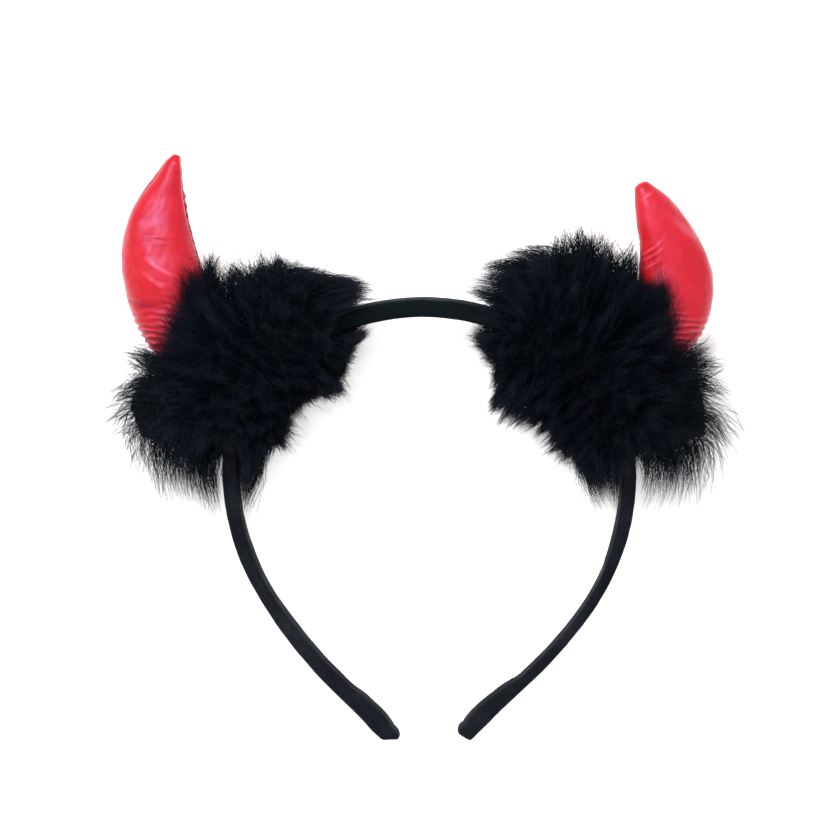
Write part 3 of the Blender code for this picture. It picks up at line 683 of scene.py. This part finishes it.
def make_horn(name, node, horn, folds, dents, seed):
    rings, edge, lines = horn_surface(horn, folds, dents, seed)
    tip, ahead, normal, half_wide, half_deep = horn.frames(np.array([1.0]))
    caps = []
    for part in (0.55, 0.85, 0.97):
        shrink = math.sqrt(1.0 - part ** 2)
        caps.append(tip + (rings[-1] - tip) * shrink + ahead * half_wide * part * 0.50)
    rings = np.concatenate([rings, np.array(caps)])
    points, faces = closed_tube(rings, flip=horn.leg.side < 0.0)
    extra = len(points) - edge.size
    # Attributes for the satin: a painted highlight beside the seam, and the fold height that gives
    # painted shade in the hollows and a painted highlight on the ridges.
    values = {
        "painted_seam_highlight": np.concatenate([edge.ravel(), np.zeros(extra)]),
        "fold": np.concatenate([lines.ravel(), np.full(extra, 0.5)]),
    }
    item = new_piece(name, points, faces, attributes=values)
    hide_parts(node)
    return item


def thread(points, radius, sides=6):
    """A closed round thread along a few points."""
    points = np.asarray(points, float)
    ahead = unit(np.gradient(points, axis=0))
    helper = np.where(np.abs(ahead[:, 2:3]) < 0.9, [[0.0, 0.0, 1.0]], [[1.0, 0.0, 0.0]])
    first = unit(np.cross(ahead, helper))
    second = np.cross(ahead, first)
    turn = np.linspace(0.0, 2.0 * math.pi, sides, endpoint=False)
    return closed_tube(points[:, None] + first[:, None] * np.cos(turn)[None, :, None] * radius
                       + second[:, None] * np.sin(turn)[None, :, None] * radius)


def join_parts(parts):
    points = []
    groups = {}
    offset = 0
    for part_points, part_faces in parts:
        points.append(part_points)
        for group in part_faces:
            groups.setdefault(group.shape[1], []).append(group + offset)
        offset += len(part_points)
    return np.concatenate(points), [np.concatenate(groups[key]) for key in sorted(groups)]


def make_stitches(name, horn, seed):
    """Hand stitches over the seam, each a short arc of thread that dips into the satin."""
    rng = np.random.default_rng(seed)
    parts = []
    spacing = STITCH_PITCH / horn.length
    for share in np.arange(STITCHES_FROM, STITCHES_TO, spacing):
        at = share + rng.uniform(-0.16, 0.16) * spacing
        steps = np.linspace(-1.0, 1.0, 7)
        half_wide = float(spline(horn.rows, np.array([at]))[0, 2] * horn.wide / 2.0)
        slope = rng.uniform(0.04, 0.16)
        turn = math.radians(SEAM_TURN[horn.leg.side]) - 0.50 / half_wide + steps * slope / half_wide
        shares = at + steps * rng.uniform(0.75, 1.00) / horn.length
        lift = rng.uniform(0.12, 0.20) - 0.34 * steps ** 2
        parts.append(thread(horn.skin(shares, turn, lift), rng.uniform(0.15, 0.21)))
    points, faces = join_parts(parts)
    return new_piece(name, points, faces)


# Fur

class Fur:
    """A collar round one shoulder of the band and the foot of its horn."""

    def __init__(self, horn, sizes):
        self.horn = horn
        self.leg = horn.leg
        self.sizes = sizes
        self.rows = [row + faces for row, faces in zip(sizes["rows"], FUR_FACES)]
        self.start = horn.seat - sizes["before"]
        self.stop = horn.seat + sizes["after"]
        spread = (self.stop - self.start) / FUR_STATIONS
        self.patch_from = int(round(sizes["before"] / spread - FUR_PATCH_STATIONS / 2.0))
        self.patch_to = self.patch_from + FUR_PATCH_STATIONS

    def columns(self, along):
        at = (along - self.start) / (self.stop - self.start)
        return {key: eased(self.rows, FUR_COLUMNS, key, at) * self.sizes[key]
                for key in FUR_COLUMNS[1:]}

    def reach(self, angle, columns):
        side = np.where(np.cos(angle) >= 0.0, columns["outward"], columns["inward"])
        face = np.where(np.sin(angle) >= 0.0, columns["front"], columns["back"])
        return 1.0 / np.sqrt((np.cos(angle) / side) ** 2 + (np.sin(angle) / face) ** 2)

    def place(self, along, angle, reach):
        centre, ahead, outward = self.leg.at(along)
        points = centre + outward * (np.cos(angle) * reach)[..., None]
        points[..., 2] += np.sin(angle) * reach
        return points

    def core_reach(self, along, angle):
        columns = self.columns(along)
        columns = {key: columns[key] * share for key, share in FUR_CORE.items()}
        station = (along - self.start) / (self.stop - self.start) * FUR_STATIONS
        from_end = np.clip(np.minimum(station, FUR_STATIONS - station), 0.0, 2.0)
        swell = np.interp(from_end, [0.0, 1.0, 2.0], FUR_CORE_ENDS + [1.0])
        return self.reach(angle, columns) * swell

    def cover(self, across):
        """How far up the horn the fur covers it."""
        places, shares = zip(*self.sizes["cover"])
        return np.interp(across, places, shares)

    def channel(self, along):
        """Section of the tunnel for the band, a box with cut corners just larger than the band."""
        thick = float(self.leg.size("thick", along)) / 2.0 + FUR_CHANNEL_GAP
        wide = float(self.leg.size("wide", along)) / 2.0 + FUR_CHANNEL_GAP
        quarter = [(thick, 0.0), (thick, wide * 0.5), (thick, wide - FUR_CHANNEL_CORNER),
                   (thick - FUR_CHANNEL_CORNER, wide), (0.0, wide)]
        half = quarter + [(-out, deep) for out, deep in quarter[-2:0:-1]] + [(-thick, 0.0)]
        profile = np.array(half + [(out, -deep) for out, deep in half[-2:0:-1]])
        centre, ahead, outward = self.leg.at(along)
        points = centre + outward * profile[:, :1]
        points[:, 2] = profile[:, 1]
        return points


def horn_opening(low, high):
    """Stations and places round the collar of the corners of its opening for the horn, in order."""
    across = range(-FUR_PATCH_AROUND, FUR_PATCH_AROUND + 1)
    rim = [(low, around) for around in across]
    rim += [(station, FUR_PATCH_AROUND) for station in range(low + 1, high)]
    rim += [(high, around) for around in reversed(across)]
    rim += [(station, -FUR_PATCH_AROUND) for station in range(high - 1, low, -1)]
    return rim


def undercoat_quads(low, high, size):
    """Outer wall, inner wall and end rings, without the opening for the horn."""
    quads = []
    for station in range(FUR_STATIONS):
        for around in range(FUR_AROUND):
            signed = around if around <= FUR_AROUND // 2 else around - FUR_AROUND
            if low <= station < high and -FUR_PATCH_AROUND <= signed < FUR_PATCH_AROUND:
                continue
            here = station * FUR_AROUND + around
            after = station * FUR_AROUND + (around + 1) % FUR_AROUND
            quads.append((here, here + FUR_AROUND, after + FUR_AROUND, after))
            quads.append((size + here, size + after, size + after + FUR_AROUND,
                          size + here + FUR_AROUND))
    last = FUR_STATIONS * FUR_AROUND
    for around in range(FUR_AROUND):
        after = (around + 1) % FUR_AROUND
        quads.append((size + around, around, after, size + after))
        quads.append((size + last + around, size + last + after, last + after, last + around))
    return quads


def make_undercoat(name, node, fur):
    """Backing under the strands, painted darker than them as the shade deep in the fur, open for the
    band and for the foot of the horn.
    """
    turn = 2.0 * math.pi * np.arange(FUR_AROUND) / FUR_AROUND
    outer = []
    inner = []
    for station in range(FUR_STATIONS + 1):
        along = fur.start + (fur.stop - fur.start) * station / FUR_STATIONS
        here = np.full(FUR_AROUND, along)
        outer.append(fur.place(here, turn, fur.core_reach(here, turn)))
        inner.append(fur.channel(along))
    outer = np.array(outer)
    inner = np.array(inner)
    low = fur.patch_from
    high = fur.patch_to
    size = (FUR_STATIONS + 1) * FUR_AROUND
    shares = np.array(FUR_TUNNEL_SHARES)
    extra = []
    columns = []
    for station, around in horn_opening(low, high):
        flat = (station - (low + high) / 2.0) / (FUR_PATCH_STATIONS / 2.0)
        angle = math.atan2(around / FUR_PATCH_AROUND, -flat)
        around = around % FUR_AROUND
        inner[station, around] = fur.horn.foot_edge(np.array([angle]), FUR_HORN_GAP,
                                                    FUR_CHANNEL_GAP - SEAT_GAP, FUR_FOOT_SQUARENESS)[0]
        skin = fur.horn.skin(shares, np.full(len(shares), angle), FUR_HORN_GAP)
        outer[station, around] = skin[-1]
        column = [size + station * FUR_AROUND + around]
        for point in skin[:-1]:
            column.append(2 * size + len(extra))
            extra.append(point)
        column.append(station * FUR_AROUND + around)
        columns.append(column)
    quads = undercoat_quads(low, high, size)
    for number, here in enumerate(columns):
        there = columns[(number + 1) % len(columns)]
        for step in range(len(here) - 1):
            quads.append((here[step], there[step], there[step + 1], here[step + 1]))
    quads = np.array(quads)
    if fur.leg.side > 0.0:
        quads = quads[:, ::-1]
    points = np.concatenate([outer.reshape(-1, 3), inner.reshape(-1, 3), np.array(extra)])
    item = new_piece(name, points, quads)
    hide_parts(node)
    return item


def clear_of_band(fur, points, gap):
    """Points moved out of the band and its cover, with their places along and out from the leg."""
    samples = np.arange(0.0, fur.stop + 40.0, 1.0)
    centres, ahead, outward = fur.leg.at(samples)
    spaces = (np.hypot(points[:, 0] - middle[0], points[:, 1] - middle[1]) for middle in centres)
    distance, index = nearest(spaces, len(points))
    along = samples[index]
    out = ((points - centres[index]) * outward[index]).sum(axis=1)
    half_thick = fur.leg.size("thick", along) / 2.0 + gap
    half_wide = fur.leg.size("wide", along) / 2.0 + gap
    inside = (np.abs(out) < half_thick) & (np.abs(points[:, 2]) < half_wide) & (distance < 9.0)
    sideways = inside & (half_thick - np.abs(out) < half_wide - np.abs(points[:, 2]))
    upward = inside & ~sideways
    moved = points.copy()
    push = (half_thick - np.abs(out)) * np.where(out >= 0.0, 1.0, -1.0)
    moved[sideways] += outward[index][sideways] * push[sideways][:, None]
    side = np.where(points[:, 2] >= 0.0, 1.0, -1.0)
    moved[upward, 2] = (half_wide * side)[upward]
    return moved, along, out


def cut_to_cover(fur, roots, tips, rng):
    """Shorten the strands that reach past the fur's edge on the horn; says which still do."""
    for cut in range(7):
        space, away, share, across = fur.horn.near(tips)
        limit = fur.cover(across) + rng.normal(0.0, 0.022, len(tips))
        over = (np.abs(across) < 1.02) & (share > limit)
        tips[over] = roots[over] + (tips[over] - roots[over]) * 0.86
    return over


def make_room(fur, lines, rng):
    """Push strands out of the horn and the band and off the floor; says which don't hide the band."""
    count = len(lines)
    keep = np.ones(count, bool)
    for number in range(1, 5):
        place = lines[:, number]
        for turn_again in range(2):
            space, away, share, across = fur.horn.near(place)
            place = place + away * np.clip(HORN_CLEARANCE - space, 0.0, None)[:, None]
            place, beside, out = clear_of_band(fur, place, BAND_CLEARANCE)
        lines[:, number] = place
        covers = (place[:, 2] > 0.0) & (np.abs(out) < fur.leg.size("thick", beside) / 2.0 + 0.6)
        past = np.maximum(beside - fur.sizes["band_to"], fur.sizes["band_from"] - beside)
        keep &= ~(covers & (rng.uniform(0.0, 1.0, count) < np.clip((past + 3.0) / 8.0, 0.0, 0.93)))
    heights = leaned(lines)[..., 2] + SHIFT[2]
    low = FLOOR_CLEARANCE + rng.uniform(0.0, 0.8, count)[:, None]
    lines[..., 2] += np.clip(low - heights, 0.0, None) / math.cos(LEAN)
    return keep


def strand_points(fur, count, clumps, rng, wisps):
    """Five points along each strand from its root on the undercoat to its end."""
    span = fur.stop - fur.start
    clump_along = fur.start + span * rng.uniform(-0.03, 1.03, clumps)
    clump_turn = rng.uniform(-math.pi, math.pi, clumps)
    clump_reach = rng.uniform(0.90, 1.11, clumps)
    clump_bend = rng.normal(0.0, 1.0, (clumps, 3))
    clump_tone = rng.uniform(0.0, 1.0, clumps)
    clump_lean = np.sqrt(rng.uniform(0.20, 1.0, clumps))

    chosen = rng.integers(0, clumps, count)
    along = clump_along[chosen] + rng.normal(0.0, 1.5, count)
    along = np.clip(along, fur.start - 0.5, fur.stop + 0.5)
    turn = clump_turn[chosen] + rng.normal(0.0, 0.15, count)
    fan = ((clump_along[chosen] - fur.start) / span - 0.5) * 2.0
    edge = np.clip((np.abs(fan) - LEAN_FROM) / LEAN_OVER, 0.0, 1.0)
    closer = 1.0 - np.where(fan > 0.0, edge, 0.0) * rng.uniform(0.0, 0.60, count)
    core = fur.core_reach(along, turn) * rng.uniform(0.80, 0.985, count) * closer
    roots = fur.place(along, turn, core)

    most = np.where(fan > 0.0, LEG_LEAN, CROWN_LEAN + CROWN_LEAN_OUTWARD * np.cos(clump_turn[chosen]))
    lean = 1.5 + edge * most * (clump_lean[chosen] + rng.normal(0.0, 0.05, count))
    lean *= np.sign(fan)
    tip_along = clump_along[chosen] + lean + clump_bend[chosen, 0] * 1.2
    tip_turn = clump_turn[chosen] + clump_bend[chosen, 1] * 0.07
    full = fur.reach(tip_turn, fur.columns(tip_along))
    if wisps:
        beyond = np.minimum(rng.gamma(1.7, 1.7, count), WISP_BEYOND)
        reach = full * rng.uniform(0.95, 1.02, count) * closer + beyond
    else:
        reach = full * clump_reach[chosen] * closer
    tips = fur.place(tip_along, tip_turn, reach)
    tips += rng.normal(0.0, 1.6 if wisps else 0.75, (count, 3))
    part = np.clip(rng.normal(0.92, 0.16, count), 0.35, 1.12)
    tips = roots + (tips - roots) * part[:, None]
    tips[:, 2] = np.minimum(tips[:, 2], STRAND_HIGHEST + rng.uniform(0.0, 1.5, count))
    over = cut_to_cover(fur, roots, tips, rng)

    centre, ahead, outward = fur.leg.at(along)
    round_out = outward * np.cos(turn)[:, None]
    round_out[:, 2] += np.sin(turn)
    pull = np.linalg.norm(tips - roots, axis=1, keepdims=True)
    bend = roots + unit(round_out + clump_bend[chosen] * 0.12) * pull * 0.52
    curl = unit(rng.normal(0.0, 1.0, (count, 3))) * rng.uniform(0.0, 0.07, count)[:, None] * pull
    lines = []
    for step in STRAND_STEPS:
        line = roots * (1.0 - step) ** 2 + bend * 2.0 * step * (1.0 - step) + tips * step ** 2
        lines.append(line + curl * math.sin(step * 5.0))
    lines = np.stack(lines, axis=1)

    in_the_open = fur.horn.near(roots)[0] > 0.3
    keep = make_room(fur, lines, rng) & ~over & in_the_open
    return lines[keep], clump_tone[chosen][keep], along[keep]


def lap_points(fur, count, rng):
    """Strands that rise round the foot of the horn and lie over it as far as the fur covers it."""
    horn = fur.horn
    across = rng.uniform(-1.0, 1.0, count)
    over = rng.uniform(0.0, 1.0, count) < fur.sizes["wisps_over_horn"]
    tuft = rng.choice([-0.10, 0.16, 0.34], count) + rng.normal(0.0, 0.035, count)
    across = np.where(over, tuft, across)
    limit = fur.cover(across)
    tip = limit + rng.normal(0.0, 0.020, count)
    tip -= (limit - 0.14) * rng.uniform(0.0, 1.0, count) ** 1.9
    root = np.maximum(tip - rng.uniform(7.0, 17.0, count) / horn.length, 0.07)
    face = np.where(rng.uniform(0.0, 1.0, count) < 0.72, 1.0, -1.0)
    across_root = np.clip(across + rng.normal(0.22, 0.16, count), -1.0, 1.0)
    angle_tip = np.arccos(across) * face
    angle_root = np.arccos(across_root) * face
    rise = rng.uniform(0.7, 4.2, count)
    rise += np.clip(-across - 0.35, 0.0, 1.0) * rng.uniform(0.0, 9.0, count)
    rise += np.clip(across - 0.40, 0.0, 1.0) * rng.uniform(0.0, 13.0, count)
    tip = np.where(over, limit + rng.gamma(1.5, 0.028, count), tip)
    swell = rng.uniform(1.8, 3.6, count)
    steps = STRAND_STEPS
    share = root[:, None] * (1.0 - steps) + tip[:, None] * steps
    angle = angle_root[:, None] * (1.0 - steps) + angle_tip[:, None] * steps
    angle = angle + 0.10 * np.sin(steps * 5.0) * rng.normal(0.0, 1.0, count)[:, None]
    grow = (1.35 * (1.0 - steps) ** 2 + swell[:, None] * 2.0 * steps * (1.0 - steps)
            + rise[:, None] * steps ** 2)
    lines = horn.skin(share, angle, grow)
    tone = 0.5 + 0.5 * np.sin(across * 9.0 + tip * 31.0)
    heights = leaned(lines)[..., 2] + SHIFT[2]
    lines[..., 2] += np.clip(0.5 - heights, 0.0, None)
    along = horn.seat - np.cos(angle_root) * 8.0
    return lines, tone, along


def ribbons(lines, wide, rng):
    """Flat tapered ribbons through the strand points, ending in a point."""
    count = len(lines)
    ahead = unit(lines[:, -1] - lines[:, 0])
    across = unit(np.cross(ahead, rng.normal(0.0, 1.0, (count, 3))))
    half = wide[:, None] * STRAND_TAPER[None, :] / 2.0
    left = lines[:, :4] - across[:, None] * half[..., None]
    right = lines[:, :4] + across[:, None] * half[..., None]
    pairs = np.stack([left, right], axis=2).reshape(count, 8, 3)
    points = np.concatenate([pairs, lines[:, 4:5]], axis=1)
    base = np.arange(count)[:, None] * 9
    quads = np.concatenate([base + np.array([[2 * step, 2 * step + 1, 2 * step + 3, 2 * step + 2]])
                            for step in range(3)])
    tris = base + np.array([[6, 7, 8]])
    reach = np.tile(np.array([0.0, 0.0, 0.3, 0.3, 0.6, 0.6, 0.85, 0.85, 1.0]), count)
    return points.reshape(-1, 3), [quads, tris], reach


def make_strands(prefix, fur, material):
    """All strands of a collar, in pieces that follow one another along the band."""
    rng = np.random.default_rng(fur.sizes["seed"])
    groups = []
    lines, tone, along = strand_points(fur, STRANDS, CLUMPS, rng, False)
    groups.append((lines, tone, along, rng.uniform(0.7, 1.15, len(lines))))
    lines, tone, along = strand_points(fur, STRANDS // WISP_SHARE, CLUMPS * 2, rng, True)
    groups.append((lines, tone, along, np.full(len(lines), 0.62)))
    lines, tone, along = lap_points(fur, LAPPING, rng)
    groups.append((lines, tone, along, rng.uniform(0.6, 1.0, len(lines))))
    lines, tone, along, wide = (np.concatenate(column) for column in zip(*groups))
    order = np.argsort(along, kind="stable")
    for number, chosen in enumerate(np.array_split(order, PIECES_A_SIDE)):
        points, faces, reach = ribbons(lines[chosen], STRAND_WIDE * wide[chosen], rng)
        values = {"tone": np.repeat(tone[chosen], 9), "reach": reach}
        item = new_piece(f"{prefix}_strands_{number + 1}", points, faces, False, values)
        item.data.materials.append(material)


# Materials

class Paint:
    """A material and the nodes that feed its shader; a lone number stands for that grey."""

    def __init__(self, name):
        self.material = bpy.data.materials.new(name)
        self.material.use_nodes = True
        self.nodes = self.material.node_tree.nodes
        self.links = self.material.node_tree.links
        self.shader = self.nodes["Principled BSDF"]

    def feed(self, socket, value):
        if hasattr(value, "links"):
            self.links.new(value, socket)
        else:
            socket.default_value = value

    def finish(self, **values):
        """Fill the shader's inputs, named with underscores for spaces, and hand the material over."""
        for key, value in values.items():
            self.feed(self.shader.inputs[key.replace("_", " ")], value)
        return self.material

    def noise(self, scale, detail, stretch=(1.0, 1.0, 1.0)):
        place = self.nodes.new("ShaderNodeTexCoord")
        mapping = self.nodes.new("ShaderNodeMapping")
        texture = self.nodes.new("ShaderNodeTexNoise")
        self.feed(mapping.inputs["Scale"], stretch)
        self.feed(texture.inputs["Scale"], scale)
        self.feed(texture.inputs["Detail"], detail)
        self.feed(mapping.inputs["Vector"], place.outputs["Object"])
        self.feed(texture.inputs["Vector"], mapping.outputs["Vector"])
        return texture.outputs["Fac"]

    def ramp(self, source, *stops):
        """Colour or grey ramp; stops are (place, colour)."""
        item = self.nodes.new("ShaderNodeValToRGB")
        elements = item.color_ramp.elements
        while len(elements) < len(stops):
            elements.new(0.5)
        for element, (place, colour) in zip(elements, stops):
            element.position = place
            element.color = (*np.broadcast_to(colour, 3), 1.0)
        self.feed(item.inputs["Fac"], source)
        return item.outputs["Color"]

    def mix(self, factor, first, second, how="MIX"):
        item = self.nodes.new("ShaderNodeMix")
        item.data_type = "RGBA"
        item.blend_type = how
        for number, value in ((0, factor), (6, first), (7, second)):
            self.feed(item.inputs[number], value)
        return item.outputs[2]

    def attribute(self, name):
        item = self.nodes.new("ShaderNodeAttribute")
        item.attribute_name = name
        return item.outputs["Fac"]

    def bump(self, height, strength, distance, before=None):
        item = self.nodes.new("ShaderNodeBump")
        self.feed(item.inputs["Height"], height)
        self.feed(item.inputs["Strength"], strength)
        self.feed(item.inputs["Distance"], distance)
        if before is not None:
            self.feed(item.inputs["Normal"], before)
        return item.outputs["Normal"]


def horn_satin(name, painted_shade):
    paint = Paint(name)
    stretch = (1.0, 0.35, 1.0)
    tone = paint.ramp(paint.noise(60.0, 3.0), (0.30, (0.455, 0.007, 0.010)),
                      (0.54, (0.49, 0.009, 0.012)), (0.74, (0.51, 0.020, 0.032)))
    grain = paint.ramp(paint.noise(700.0, 3.0, stretch), (0.35, (0.88, 0.85, 0.85)), (0.65, 1.0))
    tone = paint.mix(1.0, tone, grain, "MULTIPLY")
    # Painted shade: the whole colour is scaled down for the horn that the left softbox lights more.
    tone = paint.mix(1.0, tone, (painted_shade, painted_shade, painted_shade, 1.0), "MULTIPLY")
    # Painted shade and painted highlight from the fold height: the hollows are darkened and the ridges
    # are mixed towards a paler pink.
    lines = paint.attribute("fold")
    dips = paint.ramp(lines, (0.12, (0.46, 0.25, 0.32)), (0.45, 1.0))
    tone = paint.mix(1.0, tone, dips, "MULTIPLY")
    painted_crest_highlight = paint.ramp(lines, (0.53, 0.0), (0.66, 0.7))
    tone = paint.mix(painted_crest_highlight, tone, (0.56, 0.075, 0.115, 1.0))
    # Painted highlight: a pale pink strip beside the seam.
    tone = paint.mix(paint.attribute("painted_seam_highlight"), tone, (0.60, 0.20, 0.26, 1.0))
    soft = paint.bump(paint.noise(240.0, 3.0), 0.25, 0.0004)
    return paint.finish(
        Base_Color=tone,
        Roughness=paint.ramp(paint.noise(130.0, 2.0), (0.3, 0.30), (0.7, 0.42)),
        Normal=paint.bump(paint.noise(1500.0, 2.0, stretch), 0.25, 0.00012, soft),
        Specular_IOR_Level=0.37,
        Specular_Tint=(0.35, 0.48, 0.88, 1.0),
        Sheen_Weight=0.06,
        Sheen_Roughness=0.35,
        Sheen_Tint=(1.0, 0.55, 0.70, 1.0),
    )


def band_satin():
    paint = Paint("band_satin_cover")
    tone = paint.ramp(paint.noise(55.0, 4.0), (0.30, (0.004, 0.005, 0.009)),
                      (0.52, (0.008, 0.010, 0.015)), (0.74, (0.017, 0.018, 0.024)))
    grain = paint.ramp(paint.noise(900.0, 3.0), (0.30, (0.55, 0.55, 0.60)), (0.70, 1.0))
    tone = paint.mix(1.0, tone, grain, "MULTIPLY")
    soft = paint.bump(paint.noise(330.0, 4.0), 0.35, 0.0004)
    # Painted shade: the crown is mixed towards near black.
    return paint.finish(
        Base_Color=paint.mix(paint.attribute("crown"), tone, (0.0012, 0.0036, 0.0052, 1.0)),
        Roughness=paint.ramp(paint.noise(160.0, 2.0), (0.3, 0.62), (0.7, 0.80)),
        Normal=paint.bump(paint.noise(1700.0, 2.0), 0.3, 0.0001, soft),
        Specular_IOR_Level=0.05,
    )


def strand_material():
    paint = Paint("fur_strands")
    tint = paint.ramp(
        paint.attribute("tone"),
        (0.0, (0.0001, 0.0022, 0.0034)), (0.45, (0.0002, 0.0040, 0.0056)),
        (0.75, (0.0008, 0.0046, 0.0078)), (1.0, (0.0040, 0.0054, 0.0100)))
    # Painted light: the strand ends are mixed towards a paler violet grey, as light shows through the
    # thin tips.
    ends = paint.ramp(paint.attribute("reach"), (0.60, 0.0), (1.0, 0.5))
    tint = paint.mix(ends, tint, (0.020, 0.018, 0.034, 1.0))
    return paint.finish(Base_Color=tint, Roughness=0.55, Specular_IOR_Level=0.04)


def undercoat_material():
    paint = Paint("fur_undercoat")
    # Painted shade: the backing's black is darker than the strands' own, standing in for the shade deep
    # inside the fur.
    tint = paint.ramp(paint.noise(220.0, 3.0), (0.3, (0.0004, 0.0008, 0.0012)),
                      (0.7, (0.0010, 0.0020, 0.0028)))
    rough = paint.bump(paint.noise(900.0, 3.0), 0.6, 0.0008)
    return paint.finish(Base_Color=tint, Normal=rough, Roughness=0.55, Specular_IOR_Level=0.04)


def thread_material():
    paint = Paint("seam_thread")
    tone = paint.ramp(paint.noise(900.0, 2.0), (0.3, (0.020, 0.004, 0.006)),
                      (0.7, (0.075, 0.008, 0.012)))
    return paint.finish(Base_Color=tone, Roughness=0.6)


# Build

band = make_band()
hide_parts("band")
band.data.materials.append(band_satin())

SIDES = (
    ("left", "", LEFT_HORN, FUR_LEFT),
    ("right", "_right", RIGHT_HORN, FUR_RIGHT),
)
# The last number is painted shade: the left horn's satin is darkened to offset the extra light of the
# left softbox.
SATIN = {"left": (FOLDS_LEFT, DENTS_LEFT, 21, 0.83), "right": (FOLDS_RIGHT, DENTS_RIGHT, 34, 1.0)}

for side, ending, horn, sizes in SIDES:
    folds, dents, seed, painted_shade = SATIN[side]
    skin = make_horn(f"horn_{side}_satin", f"horn_{side}", horn, folds, dents,
                     seed)
    skin.data.materials.append(horn_satin(f"horn_satin_{side}", painted_shade))

stitch = thread_material()
for side, ending, horn, sizes in SIDES:
    item = make_stitches(f"seam_stitches_{side}", horn, 3)
    item.data.materials.append(stitch)

hair = strand_material()
under = undercoat_material()
for side, ending, horn, sizes in SIDES:
    fur = Fur(horn, sizes)
    coat = make_undercoat(f"fur_{side}_undercoat", f"fur_{side}", fur)
    coat.data.materials.append(under)
    make_strands(f"fur_{side}", fur, hair)


# Floor, light and camera

def make_floor():
    mesh = bpy.data.meshes.new("floor")
    corners = [(-1.5, -1.5, 0.0), (1.5, -1.5, 0.0), (1.5, 1.5, 0.0), (-1.5, 1.5, 0.0)]
    mesh.from_pydata(corners, [], [(0, 1, 2, 3)])
    item = add_object("floor", mesh)
    paint = Paint("floor_white")
    tone = paint.ramp(paint.noise(6.0, 2.0), (0.3, 0.93), (0.7, 0.95))
    mesh.materials.append(paint.finish(
        Base_Color=tone, Emission_Color=tone, Emission_Strength=0.34, Roughness=0.9,
        Specular_IOR_Level=0.1))


def add_softbox(name, place, aim, size, power):
    lamp = bpy.data.lights.new(name, "AREA")
    lamp.shape = "RECTANGLE"
    lamp.size = size[0]
    lamp.size_y = size[1]
    lamp.energy = power
    item = add_object(name, lamp)
    away = unit(np.array(place) - np.array(aim))
    item.location = place
    item.rotation_euler = (math.acos(away[2]), 0.0, math.atan2(away[0], -away[1]))
    item.visible_camera = False


make_floor()
world = bpy.data.worlds.new("studio")
bpy.context.scene.world = world
world.use_nodes = True
background = world.node_tree.nodes["Background"]
background.inputs["Color"].default_value = (1.0, 1.0, 1.0, 1.0)
background.inputs["Strength"].default_value = 1.06
add_softbox("softbox_overhead", (0.0, -0.10, 1.40), (0.0, 0.0, 0.0), (1.3, 1.3), 5.0)
add_softbox("softbox_left", (-0.16, 0.185, 0.34), (-0.08, 0.075, 0.02), (0.24, 0.12), 1.30)

# Photo's side in pixels, and millimetres a pixel on the floor as seen from the camera's height
PHOTO_PIXELS = 840.0
PIXEL = 0.325
CAMERA_HEIGHT = 900.0

camera_data = bpy.data.cameras.new("camera")
camera_data.angle = 2.0 * math.atan(PHOTO_PIXELS * PIXEL / 2.0 / CAMERA_HEIGHT)
camera_data.clip_start = 0.01
camera = add_object("camera", camera_data)
camera.location = (0.000356, 0.010129, CAMERA_HEIGHT * 0.001)
scene = bpy.context.scene
scene.camera = camera
scene.view_settings.view_transform = "Standard"
scene.view_settings.look = "None"
